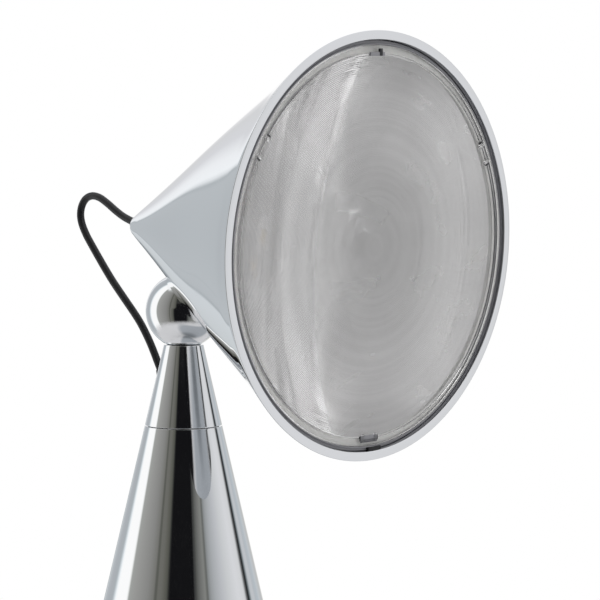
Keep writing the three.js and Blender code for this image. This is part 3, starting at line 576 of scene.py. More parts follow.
def inside_radius(sizes, height, wall):
    return cone_radius(sizes, height) - wall / math.cos(cone_lean(sizes))


def ball_height(sizes):
    return sizes.neck_top_height + math.sqrt(
        (sizes.ball_radius + FIT_GAP) ** 2 - sizes.seat_radius**2
    )


def head_lean(sizes):
    return math.atan(sizes.rim_radius / sizes.head_length)


def rim_lip(sizes):
    """The lip's inner radius, and the height where its back meets the cone's inside."""
    lip, lean = sizes.rim_radius - sizes.rim_lip, head_lean(sizes)
    return lip, (lip + sizes.head_wall / math.cos(lean)) / math.tan(lean)


def lens_lines(sizes):
    """The radii of the lens's edge and shoulder, and the heights of its front, face and back."""
    edge = sizes.rim_radius - sizes.rim_lip - sizes.gasket_width
    front = sizes.head_length - sizes.lens_inset
    face = front - sizes.lens_step
    return edge, edge - sizes.lens_flange, front, face, face - sizes.lens_thickness


def ball_offsets(sizes):
    """How far the ball's centre lies along the head's axis from the apex, and below the axis."""
    lean = head_lean(sizes)
    out = sizes.ball_radius - sizes.ball_sink
    along = sizes.ball_slant * math.cos(lean) - out * math.sin(lean)
    aside = sizes.ball_slant * math.sin(lean) + out * math.cos(lean)
    return along, aside


def head_place(sizes):
    """The head's own frame: its origin at the cone's apex, Z to the rim and Y up."""
    along, aside = ball_offsets(sizes)
    tilt = Matrix.Rotation(math.pi / 2 + sizes.head_droop, 4, "X")
    return (
        Matrix.Translation((0, 0, ball_height(sizes))) @ tilt
        @ Matrix.Translation((0, aside, -along))
    )


def ball_place(sizes):
    """The ball's frame: its origin at the ball's centre and Z along the stud."""
    along, aside = ball_offsets(sizes)
    turn = Matrix.Rotation(head_lean(sizes) - math.pi / 2, 4, "X")
    return head_place(sizes) @ Matrix.Translation((0, -aside, along)) @ turn


def panel_place(sizes, pitch=0.0):
    """The frame of the controls on the rear wall: Z outwards and Y down."""
    height = sizes.port_height
    turn = Matrix.Rotation(cone_lean(sizes) - math.pi / 2, 4, "X")
    return (
        Matrix.Translation((0, cone_radius(sizes, height), height)) @ turn
        @ Matrix.Translation((0, -pitch, 0))
    )


def neck_outlet_place(sizes):
    """The frame of the lead's outlet in the neck: Z along the lead."""
    height = sizes.neck_top_height - NECK_OUTLET_DROP
    turn = Matrix.Rotation(math.radians(NECK_OUTLET_RISE - 90), 4, "X")
    return Matrix.Translation((0, cone_radius(sizes, height), height)) @ turn


def nose_outlet_place(sizes):
    """The frame of the lead's outlet in the nose: its origin in the nose's centre, Z outwards."""
    centre = sizes.nose_radius / math.sin(head_lean(sizes))
    turn = Matrix.Rotation(math.radians(NOSE_OUTLET_TURN - 180), 4, "X")
    return head_place(sizes) @ Matrix.Translation((0, 0, centre)) @ turn


# Finishes


def linear(tone):
    """A tone from 0 to 255 as the light that it stands for."""
    value = np.array(tone, float) / 255
    return np.where(value <= 0.04045, value / 12.92, ((value + 0.055) / 1.055) ** 2.4)


def add(tree, kind, values=None, **settings):
    """A node of the tree with its settings made, and then its sockets set or linked."""
    made = tree.nodes.new(kind)
    for name, value in settings.items():
        setattr(made, name, value)
    for key, value in (values or {}).items():
        if isinstance(value, bpy.types.NodeSocket):
            tree.links.new(value, made.inputs[key])
        else:
            made.inputs[key].default_value = value
    return made


def calc(tree, operation, *values):
    return add(tree, "ShaderNodeMath", dict(enumerate(values)), operation=operation).outputs[0]


def product(tree, *factors):
    result = factors[0]
    for factor in factors[1:]:
        result = calc(tree, "MULTIPLY", result, factor)
    return result


def distance(tree, vector):
    """The vector's length."""
    return add(tree, "ShaderNodeVectorMath", {0: vector}, operation="LENGTH").outputs["Value"]


def spread(tree, value, low, high, to_low=0.0, to_high=1.0, kind="SMOOTHSTEP"):
    """The value carried from one range to another, and held at its ends."""
    return add(
        tree, "ShaderNodeMapRange",
        {"Value": value, "From Min": low, "From Max": high, "To Min": to_low, "To Max": to_high},
        interpolation_type=kind,
    ).outputs["Result"]


def tones(tree, factor, stops):
    """A ramp of (place from 0 to 1, colour) stops."""
    ramp = add(tree, "ShaderNodeValToRGB", {"Fac": factor})
    elements = ramp.color_ramp.elements
    while len(elements) < len(stops):
        elements.new(0.5)
    for element, (place, value) in zip(elements, stops):
        element.position = place
        element.color = (*value[:3], 1)
    return ramp.outputs["Color"]


def mixed(tree, factor, first, second):
    """The second colour over the first by the factor."""
    values = {0: factor, 6: first, 7: second}
    return add(tree, "ShaderNodeMix", values, data_type="RGBA").outputs[2]


def shades(tree, factor, base, stops):
    """A ramp of (place from 0 to 1, share of the base colour or of its channels) stops."""
    return tones(tree, factor, [
        (place, [share * c for share, c in zip(np.broadcast_to(shares, 3), base)])
        for place, shares in stops
    ])


def noise(tree, scale, detail, vector=None):
    """Noise over the piece's own place, scale in cells per metre."""
    where = vector or add(tree, "ShaderNodeTexCoord").outputs["Object"]
    return add(
        tree, "ShaderNodeTexNoise", {"Vector": where, "Scale": scale, "Detail": detail},
    ).outputs["Fac"]


def new_finish(name, **sockets):
    """A material with one Principled shader, whose sockets are given with _ for a space."""
    material = bpy.data.materials.new(name)
    material.use_nodes = True
    tree = material.node_tree
    tree.nodes.clear()
    shader = add(tree, "ShaderNodeBsdfPrincipled")
    output = add(tree, "ShaderNodeOutputMaterial")
    tree.links.new(shader.outputs[0], output.inputs["Surface"])
    for key, value in sockets.items():
        shader.inputs[key.replace("_", " ")].default_value = value
    return material, tree, shader


def connect(tree, shader, **sockets):
    for key, value in sockets.items():
        tree.links.new(value, shader.inputs[key.replace("_", " ")])


def uneven(tree, shader, cloud, gloss, height, depth, span=(0.3, 0.7)):
    """Roughness from gloss's first to its second value by a cloud, and bumps by a height."""
    bumps = add(tree, "ShaderNodeBump", {"Height": height, "Distance": depth}).outputs["Normal"]
    connect(tree, shader, Roughness=spread(tree, cloud, *span, *gloss), Normal=bumps)


def polished(name, base, wave, wave_scale=14.0):
    """Chrome plate over spun metal: a mirror with faint waves and a few duller places."""
    material, tree, shader = new_finish(name, Base_Color=base, Metallic=1.0)
    broad = noise(tree, wave_scale, 1.0)
    uneven(tree, shader, noise(tree, 60.0, 4.0), (0.012, 0.05), broad, wave, (0.35, 0.75))
    return material


def brushed(name, base, gloss):
    """Plain metal with fine lines round the Z axis and a mottled dullness."""
    material, tree, shader = new_finish(name, Base_Color=base, Metallic=1.0)
    where = add(tree, "ShaderNodeTexCoord").outputs["Object"]
    stretched = add(tree, "ShaderNodeMapping", {"Vector": where, "Scale": (1, 1, 12)}).outputs[0]
    lines = noise(tree, 900.0, 3.0, stretched)
    uneven(tree, shader, noise(tree, 140.0, 3.0, where), gloss, lines, 0.00001)
    return material


def moulded(
    name, base, gloss, patches=90.0, lift=(1.18, 0.002), grain=1800.0, depth=0.00002, shine=0.5,
):
    """Moulded plastic or rubber with a grain and a slightly uneven gloss and colour.

    The lighter patches have lift's first value times the base colour plus its second.
    """
    material, tree, shader = new_finish(name, Specular_IOR_Level=shine)
    cloud = noise(tree, patches, 3.0)
    lighter = [min(1.0, c * lift[0] + lift[1]) for c in base[:3]]
    connect(tree, shader, Base_Color=tones(tree, cloud, [(0.3, base), (0.7, lighter)]))
    uneven(tree, shader, cloud, gloss, noise(tree, grain, 2.0), depth)
    return material


def grained(name, base, scale, detail, stops, gloss, depth, metal=0.0):
    """A finish whose colour, gloss and bumps follow one grain."""
    material, tree, shader = new_finish(name, Metallic=metal)
    grain = noise(tree, scale, detail)
    connect(tree, shader, Base_Color=shades(tree, grain, base, stops))
    uneven(tree, shader, grain, gloss, grain, depth)
    return material


def axis_distance(tree):
    """The distance from the head's axis.

    It is the length of the cross product of the axis and the way from the cone's point.
    """
    place = head_place(bpy.context.scene.lamp_sizes)
    where = add(tree, "ShaderNodeTexCoord").outputs["Object"]
    way = add(
        tree, "ShaderNodeVectorMath", {0: where, 1: place.translation}, operation="SUBTRACT",
    ).outputs["Vector"]
    return distance(tree, add(
        tree, "ShaderNodeVectorMath", {0: way, 1: place.col[2].to_3d()}, operation="CROSS_PRODUCT",
    ).outputs["Vector"])


def satin_with_painted_shade(name, base):
    """Satin metal whose colour is painted darker from the rim towards the nose: painted shade deep in
    the cone.
    """
    material, tree, shader = new_finish(name, Metallic=1.0)
    outwards = spread(tree, axis_distance(tree), 0.0, 0.1)
    # Painted shade: the colour is darker near the axis, deep in the cone towards the nose
    stops = [(0.15, 0.62), (0.95, 1)]
    connect(tree, shader, Base_Color=shades(tree, outwards, base, stops))
    uneven(tree, shader, noise(tree, 60.0, 4.0), (0.26, 0.36), noise(tree, 30.0, 1.0), 0.00005)
    return material


def clear(name, base):
    """Clear moulded plastic, painted greyer round the axis as shade, with faint rings painted darker
    as the grooves' shade and a trace of haze.
    """
    material, tree, shader = new_finish(name, IOR=1.49, Transmission_Weight=1.0)
    outwards = axis_distance(tree)
    # Faint rings painted darker in the colour: painted shade of the lens's grooves
    rings = add(
        tree, "ShaderNodeTexNoise", {"W": outwards, "Scale": 300.0, "Detail": 2.0},
        noise_dimensions="1D",
    ).outputs["Fac"]
    # Painted shade: the lens's colour greyer towards its middle
    painted_centre_shade = shades(tree, spread(tree, outwards, 0.0, 0.1, kind="LINEAR"), base, LENS_PAINTED_SHADE)
    ringed = add(
        tree, "ShaderNodeVectorMath", {0: painted_centre_shade, "Scale": spread(tree, rings, 0.4, 0.6, 0.96, 1.0)},
        operation="SCALE",
    ).outputs["Vector"]
    haze = spread(tree, noise(tree, 40.0, 3.0), 0.3, 0.8, 0.01, 0.06)
    connect(tree, shader, Base_Color=ringed, Roughness=haze)
    return material


def etched(name, base):
    """A circuit board: solder resist with lighter tracks under it."""
    material, tree, shader = new_finish(name)
    where = add(tree, "ShaderNodeTexCoord").outputs["Object"]
    cells = add(
        tree, "ShaderNodeTexVoronoi", {"Vector": where, "Scale": 260.0},
        feature="F1", distance="MANHATTAN",
    ).outputs["Distance"]
    tracks = spread(tree, cells, 0.3, 0.34)
    lighter = (base[0] * 2.2, base[1] * 1.7, base[2] * 1.9, 1)
    connect(tree, shader, Base_Color=mixed(tree, tracks, base, lighter))
    uneven(tree, shader, tracks, (0.3, 0.42), tracks, 0.00003, (0, 1))
    return material


# The function that makes each finish, the colour it starts from and its further values
RECIPES = {
    "shell_chrome": (polished, "chrome", {"wave": 0.00003}),
    "head_chrome": (polished, "chrome", {"wave": 0.00004, "wave_scale": 11.0}),
    "ball_chrome": (polished, "chrome", {"wave": 0.00001, "wave_scale": 30.0}),
    "reflector": (satin_with_painted_shade, "reflector", {}),
    "clear_lens": (clear, "lens", {}),
    "rubber": (moulded, "rubber", {
        "gloss": (0.24, 0.34), "patches": 120.0, "lift": (1.5, 0), "grain": 60.0, "depth": 0.00003,
        "shine": 0.36,
    }),
    "gasket_rubber": (moulded, "gasket", {"gloss": (0.3, 0.4)}),
    "black_plastic": (moulded, "black_plastic", {"gloss": (0.28, 0.42)}),
    "white_plastic": (moulded, "white_plastic", {"gloss": (0.3, 0.45)}),
    "phosphor": (moulded, "phosphor", {"gloss": (0.5, 0.6)}),
    "steel": (brushed, "steel", {"gloss": (0.2, 0.38)}),
    "brass": (brushed, "brass", {"gloss": (0.22, 0.36)}),
    "aluminium": (brushed, "aluminium", {"gloss": (0.26, 0.42)}),
    "cast_iron": (grained, "iron", {
        "scale": 420.0, "detail": 5.0, "stops": [(0.4, 1), (0.75, (1.9, 1.4, 1.1))],
        "gloss": (0.5, 0.75), "depth": 0.0002, "metal": 0.7,
    }),
    "cell_wrap": (grained, "wrap", {
        "scale": 300.0, "detail": 4.0, "stops": [(0.3, 0.7), (0.6, 1)],
        "gloss": (0.22, 0.34), "depth": 0.00008,
    }),
    "circuit_board": (etched, "board", {}),
}


class Finishes:
    """The lamp's finishes, each made when a piece first asks for it."""

    made = {}

    @classmethod
    def get(cls, name):
        if name not in cls.made:
            recipe, base, values = RECIPES[name]
            cls.made[name] = recipe(name, getattr(bpy.context.scene.lamp_colours, base), **values)
        return cls.made[name]


# Studio


def long_ramp(tree, value, stops):
    """The stops' tones from 0 to 255, on as many ramps as their number needs."""
    shown = None
    for start in range(0, len(stops) - 1, RAMP_STOPS - 1):
        run = stops[start:start + RAMP_STOPS]
        first, last = run[0][0], run[-1][0]
        factor = spread(tree, value, first, last, kind="LINEAR")
        made = tones(tree, factor, [((a - first) / (last - first), linear(t)) for a, t in run])
        past = calc(tree, "GREATER_THAN", value, first)
        shown = made if shown is None else mixed(tree, past, shown, made)
    return shown


def flanks(tree, value, sides):
    """Both soft edges of a band, each from zero outside to one inside."""
    return [spread(tree, value, *side) for side in sides]


def in_mirror(tree, ray):
    """One for a ray that comes off a mirror and zero for any other."""
    return calc(tree, "MULTIPLY", ray["Is Glossy Ray"], ray["Is Reflection Ray"])


# Operators


class LAMP_OT_studio(bpy.types.Operator):
    """Makes the camera, the round table, the studio's walls and the soft lamp."""

    bl_idname = "lamp.studio"
    bl_label = "Studio"

    def execute(self, context):
        studio = context.scene.lamp_studio
        self.make_camera(context, studio)
        self.make_world(context)
        self.make_table(studio)
        self.make_lamp(context, studio)
        context.scene.view_settings.view_transform = "Standard"
        cycles = context.scene.cycles
        cycles.max_bounces = cycles.glossy_bounces = cycles.transmission_bounces = LENS_BOUNCES
        return {"FINISHED"}

    @staticmethod
    def make_camera(context, studio):
        heading, pitch, roll = studio.camera_heading, studio.camera_pitch, studio.camera_roll
        level = Vector((math.cos(heading), math.sin(heading), 0))
        side = Vector((math.sin(heading), -math.cos(heading), 0))
        forward = level * math.cos(pitch) - Vector((0, 0, math.sin(pitch)))
        up = side.cross(forward)
        across = side * math.cos(roll) + up * math.sin(roll)
        upwards = up * math.cos(roll) - side * math.sin(roll)
        data = bpy.data.cameras.new("camera")
        data.lens = studio.camera_lens
        data.sensor_width = 36
        data.clip_start, data.clip_end = 0.05, 50
        camera = bpy.data.objects.new("camera", data)
        turn = Matrix((across, upwards, -forward)).transposed().to_4x4()
        camera.matrix_world = Matrix.Translation(studio.camera_place) @ turn
        context.scene.collection.objects.link(camera)
        context.scene.camera = camera

    @staticmethod
    def make_world(context):
        """Walls by azimuth and a ceiling above them for what mirrors them, plain white where the
        camera looks, and even soft light for all that is matt or clear.
        """
        world = bpy.data.worlds.new("studio_walls")
        world.use_nodes = True
        tree = world.node_tree
        tree.nodes.clear()
        direction = add(tree, "ShaderNodeTexCoord").outputs["Generated"]
        x, y, z = add(tree, "ShaderNodeSeparateXYZ", {"Vector": direction}).outputs
        azimuth = calc(tree, "DEGREES", calc(tree, "ARCTAN2", y, x))
        elevation = calc(tree, "DEGREES", calc(tree, "ARCSINE", z))

        # The dark screen beside the camera leans, so it stands further round lower down
        lean = product(
            tree, spread(tree, elevation, *LEAN_TOP), *flanks(tree, azimuth, LEAN_SIDES),
        )
        leaning = calc(tree, "MULTIPLY_ADD", lean, SCREEN_LEAN, azimuth)
        walls = long_ramp(tree, leaning, WALL_TONES)
        in_low = product(
            tree, calc(tree, "GREATER_THAN", azimuth, LOW_SIDES[0]),
            calc(tree, "LESS_THAN", azimuth, LOW_SIDES[1]), spread(tree, elevation, *LOW_TOP),
        )
        walls = mixed(tree, in_low, walls, long_ramp(tree, azimuth, LOW_TONES))
        screen = product(
            tree, *flanks(tree, leaning, SCREEN_SIDES), spread(tree, elevation, *SCREEN_TOP),
        )
        walls = mixed(tree, screen, walls, (*linear(SCREEN_TONE), 1))
        front = product(tree, *flanks(tree, azimuth, FRONT_SIDES))
        start = spread(tree, front, 0.0, 1.0, *CEILING_START)
        in_ceiling = spread(tree, calc(tree, "SUBTRACT", elevation, start), 0.0, CEILING_EDGE)
        walls = mixed(tree, in_ceiling, walls, long_ramp(tree, azimuth, CEILING_TONES))
        above = spread(tree, elevation, *ZENITH_EDGE)
        walls = mixed(tree, above, walls, (*linear(ZENITH_TONE), 1))

        ray = add(tree, "ShaderNodeLightPath").outputs
        soft = tones(tree, spread(tree, z, -1.0, 1.0), SOFT_LIGHT)
        shown = mixed(tree, in_mirror(tree, ray), soft, walls)
        shown = mixed(tree, ray["Is Camera Ray"], shown, (1, 1, 1, 1))
        light = add(tree, "ShaderNodeBackground", {"Color": shown, "Strength": 1.0})
        output = add(tree, "ShaderNodeOutputWorld")
        tree.links.new(light.outputs[0], output.inputs["Surface"])
        context.scene.world = world

    @staticmethod
    def make_table(studio):
        """A round table that fades to white where it is looked at, also through the lens.

        Mirrored in chrome it is dimmer and darkest near the foot and under the head, where it holds
        painted shadow; it fades out at its edge and can't be seen from below.
        """
        radius, tone = studio.table_radius, studio.table_tone
        material = bpy.data.materials.new("table")
        material.use_nodes = True
        tree = material.node_tree
        tree.nodes.clear()
        where = add(tree, "ShaderNodeTexCoord").outputs["Object"]
        out = distance(tree, where)
        ray = add(tree, "ShaderNodeLightPath").outputs
        mirrored = in_mirror(tree, ray)

        grain = noise(tree, 300.0, 3.0, where)
        pale = shades(tree, grain, [tone] * 3, [(0.3, (0.99, 0.99, 1)), (0.7, (1.01, 1.01, 1.03))])
        # Painted shadow, seen only in the chrome: darker near the foot and in an oval under the head
        near, under, beyond = ([*(tone * share for share in shares), 1] for shares in SEEN_TABLE_WITH_PAINTED_SHADOWS)
        painted_shadow = mixed(tree, spread(tree, out, *FOOT_SHADOW_FADE), near, under)
        head_shadow_place = add(
            tree, "ShaderNodeMapping",
            {"Vector": where, "Location": HEAD_SHADOW_MIDDLE, "Scale": HEAD_SHADOW_RADII}, vector_type="TEXTURE",
        ).outputs[0]
        in_head_shadow = spread(tree, distance(tree, head_shadow_place), *HEAD_SHADOW_EDGE)
        in_chrome = mixed(tree, in_head_shadow, beyond, painted_shadow)
        shade = mixed(tree, mirrored, pale, in_chrome)
        board = add(tree, "ShaderNodeBsdfDiffuse", {"Color": shade}).outputs[0]

        white = add(tree, "ShaderNodeEmission", {"Color": (1, 1, 1, 1), "Strength": 1.0}).outputs[0]
        looked_at = calc(tree, "MAXIMUM", ray["Is Camera Ray"], ray["Is Transmission Ray"])
        fade = calc(tree, "MULTIPLY", spread(tree, out, 0.2 * radius, 0.8 * radius), looked_at)
        shown = add(tree, "ShaderNodeMixShader", {0: fade, 1: board, 2: white}).outputs[0]
        underside = add(tree, "ShaderNodeNewGeometry").outputs["Backfacing"]
        edge = calc(tree, "MAXIMUM", spread(tree, out, 0.5 * radius, 0.99 * radius), underside)
        edge = calc(tree, "MULTIPLY", edge, mirrored)
        through = add(tree, "ShaderNodeBsdfTransparent").outputs[0]
        shown = add(tree, "ShaderNodeMixShader", {0: edge, 1: shown, 2: through}).outputs[0]
        output = add(tree, "ShaderNodeOutputMaterial")
        tree.links.new(shown, output.inputs["Surface"])
        table = turned_piece("table", bar(radius, TABLE_LOW, TABLE_HIGH), material, around=128)

    @staticmethod
    def make_lamp(context, studio):
        data = bpy.data.lights.new("soft_lamp", "AREA")
        data.shape = "SQUARE"
        data.size = studio.lamp_size
        data.energy = studio.lamp_power
        lamp = bpy.data.objects.new("soft_lamp", data)
        lamp.location = (*LAMP_PLACE, studio.lamp_height)
        lamp.rotation_euler = lamp.location.to_track_quat("Z", "Y").to_euler()
        lamp.visible_camera = lamp.visible_glossy = False
        context.scene.collection.objects.link(lamp)


class LAMP_OT_lead(bpy.types.Operator):
    """Makes the loose lead between head and neck, and the grommets at its ends."""

    bl_idname = "lamp.lead"
    bl_label = "Lead and grommets"

    def execute(self, context):
        sizes = context.scene.lamp_sizes
        centres, run = smooth_route(LEAD_ROUTE, LEAD_STEP)
        surface = tube(centres, sizes.lead_diameter / 2)
        lead = new_object("lead", *surface, [Finishes.get("rubber")])
        lead.visible_glossy = False
        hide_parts("lead_loop")
        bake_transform(lead)

        bore = sizes.lead_diameter / 2 + FIT_GAP
        outer = sizes.outlet_radius
        back, shoulder, tip = -0.0055, 0.003, 0.006
        make_piece(
            "neck_lead_grommet", "neck", "black_rubber", ["neck_grommet"],
            eased([
                (0, back, 0), (outer, back, 0), (outer, shoulder, 0.0008),
                (bore + 0.0001, tip, 0.00025), (0, tip, 0),
            ]),
            neck_outlet_place(sizes), 64,
        )
        back, tip = -0.002, sizes.nose_radius + 0.0006
        make_piece(
            "head_lead_grommet", "head", "black_rubber", ["head_grommet"],
            eased([(0, back, 0), (outer, back, 0), (outer, tip, SOFT), (0, tip, 0)]),
            nose_outlet_place(sizes), 64,
        )
        return {"FINISHED"}


class LAMP_OT_stem(bpy.types.Operator):
    """Makes the shells of base and neck, one cone with a seam."""

    bl_idname = "lamp.stem"
    bl_label = "Base and neck"

    def execute(self, context):
        sizes = context.scene.lamp_sizes
        seam = sizes.neck_top_height - sizes.neck_length
        low, high = sizes.shell_lift, seam - sizes.seam_gap / 2
        wall = sizes.base_wall
        make_piece(
            "base_cone", "base", "chrome_shell", ["base_shell"],
            eased([
                (inside_radius(sizes, low, wall), low, FINE), (cone_radius(sizes, low), low, SOFT),
                (cone_radius(sizes, high), high, FINE), (inside_radius(sizes, high, wall), high, 0),
            ]),
            around=512, cutters=self.panel_cutters(sizes),
        )
        self.make_neck(sizes, seam)
        return {"FINISHED"}

    @staticmethod
    def panel_cutters(sizes):
        """Bars through the rear wall for the port, the button and the charge light."""
        port = sizes.port_opening / 2 + sizes.bezel_wall + FIT_GAP
        stretch = (sizes.port_width - sizes.port_opening) / 2
        button = sizes.button_radius + sizes.bezel_wall + 2 * FIT_GAP
        window = sizes.window_radius + FIT_GAP
        return [
            new_cutter(bar(radius, -WALL_CUT, WALL_CUT), panel_place(sizes, pitch), 96, (aside, 0))
            for radius, pitch, aside in (
                (port, 0, stretch), (button, sizes.button_pitch, 0), (window, sizes.window_pitch, 0),
            )
        ]

    @staticmethod
    def make_neck(sizes, seam):
        """The neck's shell, with a round seat for the ball and a groove for the seat ring."""
        bottom, top = seam + sizes.seam_gap / 2, sizes.neck_top_height
        centre, reach = ball_height(sizes), sizes.ball_radius + FIT_GAP
        groove_edge, groove_outer, groove_inner, groove_depth = 0.00915, 0.0088, 0.007, 0.0029
        magnet_bore, magnet_depth = 0.0063, 0.008
        plug = centre - sizes.ball_radius - FIT_GAP - magnet_depth

        def seat(first, last, steps):
            """Points of the seat from one radius to another."""
            turn = np.linspace(math.asin(first / reach), math.asin(last / reach), steps + 1)
            return np.c_[reach * np.sin(turn), centre - reach * np.cos(turn)]

        outside = eased([
            (inside_radius(sizes, bottom, sizes.neck_wall), bottom, 0),
            (cone_radius(sizes, bottom), bottom, FINE),
            (sizes.neck_top_radius, top, SMALL), (sizes.seat_radius, top, 0),
        ])
        profile = np.vstack([
            outside, seat(groove_edge, groove_outer, 1),
            [(groove_outer, top - groove_depth), (groove_inner, top - groove_depth)],
            seat(groove_inner, magnet_bore, 3),
            [(magnet_bore, plug), (inside_radius(sizes, plug, sizes.neck_wall), plug)],
        ])
        outlet = bar(sizes.outlet_radius + FIT_GAP, *NECK_HOLE)
        make_piece(
            "neck_cone", "neck", "chrome_shell", ["neck_shell"], profile, around=384,
            cutters=[new_cutter(outlet, neck_outlet_place(sizes))],
        )


class LAMP_OT_ball(bpy.types.Operator):
    """Makes the polished ball with the bore for its stud."""

    bl_idname = "lamp.ball"
    bl_label = "Ball"

    def execute(self, context):
        sizes = context.scene.lamp_sizes
        radius, bore = sizes.ball_radius, sizes.stud_bore
        mouth = math.asin(bore / radius)
        skin = arc((0, 0), radius, -math.pi / 2, math.pi / 2 - mouth, 160)
        skin[0, 0] = 0
        floor = radius * math.cos(mouth) - sizes.stud_depth
        profile = np.vstack([skin, [(bore, floor), (0, floor)]])
        make_piece(
            "polished_ball", "head", "chrome_head", ["ball"], profile, ball_place(sizes), 320,
            finish="ball_chrome",
        )
        return {"FINISHED"}


class LAMP_OT_head(bpy.types.Operator):
    """Makes the head's cone with its round nose, its rim and its bright inside."""

    bl_idname = "lamp.head"
    bl_label = "Head"

    def execute(self, context):
        sizes = context.scene.lamp_sizes
        lean = head_lean(sizes)
        inset = sizes.head_wall / math.cos(lean)
        nose = sizes.nose_radius / math.sin(lean)
        lip, lip_back = rim_lip(sizes)
        hollow = nose - sizes.nose_radius + sizes.nose_thickness
        tip = arc((0, nose), sizes.nose_radius, -math.pi / 2, -lean, 24)
        tip[0, 0] = 0
        front = eased([
            (tip[-1, 0], tip[-1, 1], 0),
            (sizes.rim_radius, sizes.head_length, sizes.rim_round),
            (lip, sizes.head_length, SMALL), (lip, lip_back, 0),
            (hollow * math.tan(lean) - inset, hollow, 0), (0, hollow, 0),
        ], 8)[1:]

        def between(first, last, steps):
            """The points that part the way from first to last into even steps."""
            return first + np.linspace(0, 1, steps + 1)[1:-1, None] * (last - first)

        side = between(tip[-1], front[0], 59)
        inside = between(front[-3], front[-2], 23)
        profile = np.vstack([tip, side, front[:-2], inside, front[-2:]])
        points, quads, triangles, rows = turned(profile, around=384)
        points = self.waved(sizes, points, side[-1, 1], lean)
        points = carried(points, head_place(sizes))
        finishes = [Finishes.get("head_chrome"), Finishes.get("reflector")]
        inner = rows >= len(tip) + len(side) + len(front) - 3
        head = new_object("head_cone", points, quads, triangles, finishes, inner)
        room = arc((0, 0), sizes.ball_radius + FIT_GAP, -math.pi / 2, math.pi / 2, 64)
        room[[0, -1], 0] = 0
        outlet = bar(sizes.outlet_radius + FIT_GAP, *NOSE_HOLE)
        cut(
            head, new_cutter(room, ball_place(sizes), 128),
            new_cutter(outlet, nose_outlet_place(sizes)),
        )
        place_piece(head, "head", ["head_shell"])
        return {"FINISHED"}

    @staticmethod
    def waved(sizes, points, end, lean):
        """The points with the faint waves of pressed sheet metal on the cone's outside.

        A point of the outside moves inwards along the cone's normal by wave_height times
        cos(4 turn) cos(2 pi (height - wave_middle) / wave_length), which fades out at the nose
        and at the rim.
        """
        start, nose_fade, rim_fade, on_cone, waves_round = 0.012, 0.012, 0.008, 0.0004, 4
        x, y, z = points.T
        fade = np.clip((z - start) / nose_fade, 0, 1) * np.clip((end - z) / rim_fade, 0, 1)
        fade[np.abs(np.hypot(x, y) - z * math.tan(lean)) > on_cone] = 0
        turn = np.arctan2(y, x)
        wave = np.cos(2 * np.pi * (z - sizes.wave_middle) / sizes.wave_length)
        out = -sizes.wave_height * fade * np.cos(waves_round * turn) * wave
        moved = points.copy()
        moved[:, 0] += out * math.cos(lean) * np.cos(turn)
        moved[:, 1] += out * math.cos(lean) * np.sin(turn)
        moved[:, 2] -= out * math.sin(lean)
        return moved


class LAMP_OT_lens(bpy.types.Operator):
    """Makes the ringed lens with its flange and snap tabs."""

    bl_idname = "lamp.lens"
    bl_label = "Lens"

    def execute(self, context):
        sizes = context.scene.lamp_sizes
        edge, shoulder, front, face, back = lens_lines(sizes)
        rings_end, back_edge = shoulder - 0.0004, shoulder - 0.0002
        outline = eased([
            (back_edge, back, 0), (edge, back, SMALL), (edge, front, ROUND),
            (shoulder, front, SOFT), (shoulder, face, FINE), (0, face, 0),
        ], 4)
        make_piece(
            "ringed_lens", "head", "clear_plastic", ["fresnel_lens"],
            np.vstack([self.ring_profile(sizes, rings_end, back), outline]),
            head_place(sizes), 384,
        )
        self.make_tabs(sizes, edge, shoulder, face)
        return {"FINISHED"}

    @staticmethod
    def ring_profile(sizes, outer, back):
        """The rings' back faces from the axis outwards.

        Within a ring the face rises towards the front by the ring's slope times the way
        outwards, and then drops back. The slope is ring_slope times the ring's share of the
        whole radius to the power ring_growth.
        """
        drop_width = 0.00002
        count = int(round(outer / sizes.ring_pitch))
        inner = np.linspace(0, outer, count + 1)[sizes.plain_rings:]
        start, end = inner[:-1], inner[1:]
        slope = sizes.ring_slope * ((start + end) / 2 / outer) ** sizes.ring_growth
        rise = (end - start) * slope
        rows = np.empty((2 * len(start), 2))
        rows[0::2] = np.c_[start, np.full(len(start), back)]
        rows[1::2] = np.c_[end - drop_width, back + rise]
        return np.vstack([[(0, back)], rows])

    @staticmethod
    def make_tabs(sizes, edge, shoulder, face):
        """The ribs and slots of the snap tabs, the mould's gate and the seal's dark joint."""

        def block(name, slot, degrees, radius, size, heights, aside=0, finish=None):
            """A block with its middle at a radius, its width along the rim and its depth across."""
            width, depth = size
            low, high = heights
            place = (
                head_place(sizes) @ Matrix.Rotation(math.radians(degrees), 4, "Z")
                @ Matrix.Translation((radius, aside, 0))
            )
            profile = eased([(0, low, 0), (SMALL, low, 0), (SMALL, high, FINE), (0, high, 0)], 3)
            reach = (depth / 2 - SMALL, width / 2 - SMALL)
            make_piece(name, "head", slot, (), profile, place, 32, reach, finish=finish)

        low = face + 0.0001
        half = sizes.tab_width / 2
        for number, degrees in enumerate((30, 150, 270), 1):
            for side, way in (("left", -1), ("right", 1)):
                block(
                    f"lens_rib_{number}_{side}", "clear_plastic", degrees, shoulder - 0.0002,
                    (0.0016, 0.0036), (low, low + 0.001), way * half,
                )
                block(
                    f"lens_slot_{number}_{side}", "black_plastic", degrees, shoulder,
                    (0.0009, 0.0024), (low, low + 0.0006), way * (half + 0.0015),
                )
        block(
            "mould_gate", "black_rubber", 93.4, shoulder - 0.0004, (0.01, 0.0018),
            (low, low + 0.0012), finish="gasket_rubber",
        )
        block(
            "mould_gate_core", "black_plastic", 92, shoulder + 0.0005, (0.002, 0.0034),
            (low, low + 0.0014),
        )
        block(
            "tab_foot", "black_rubber", 270, shoulder + 0.0003, (0.0118, 0.0033),
            (low, low + 0.0007), finish="gasket_rubber",
        )
        block(
            "seal_joint", "black_rubber", 272.7, edge + 0.0018, (0.0088, 0.0018),
            (sizes.head_length - 0.0024, sizes.head_length - 0.0009),
        )


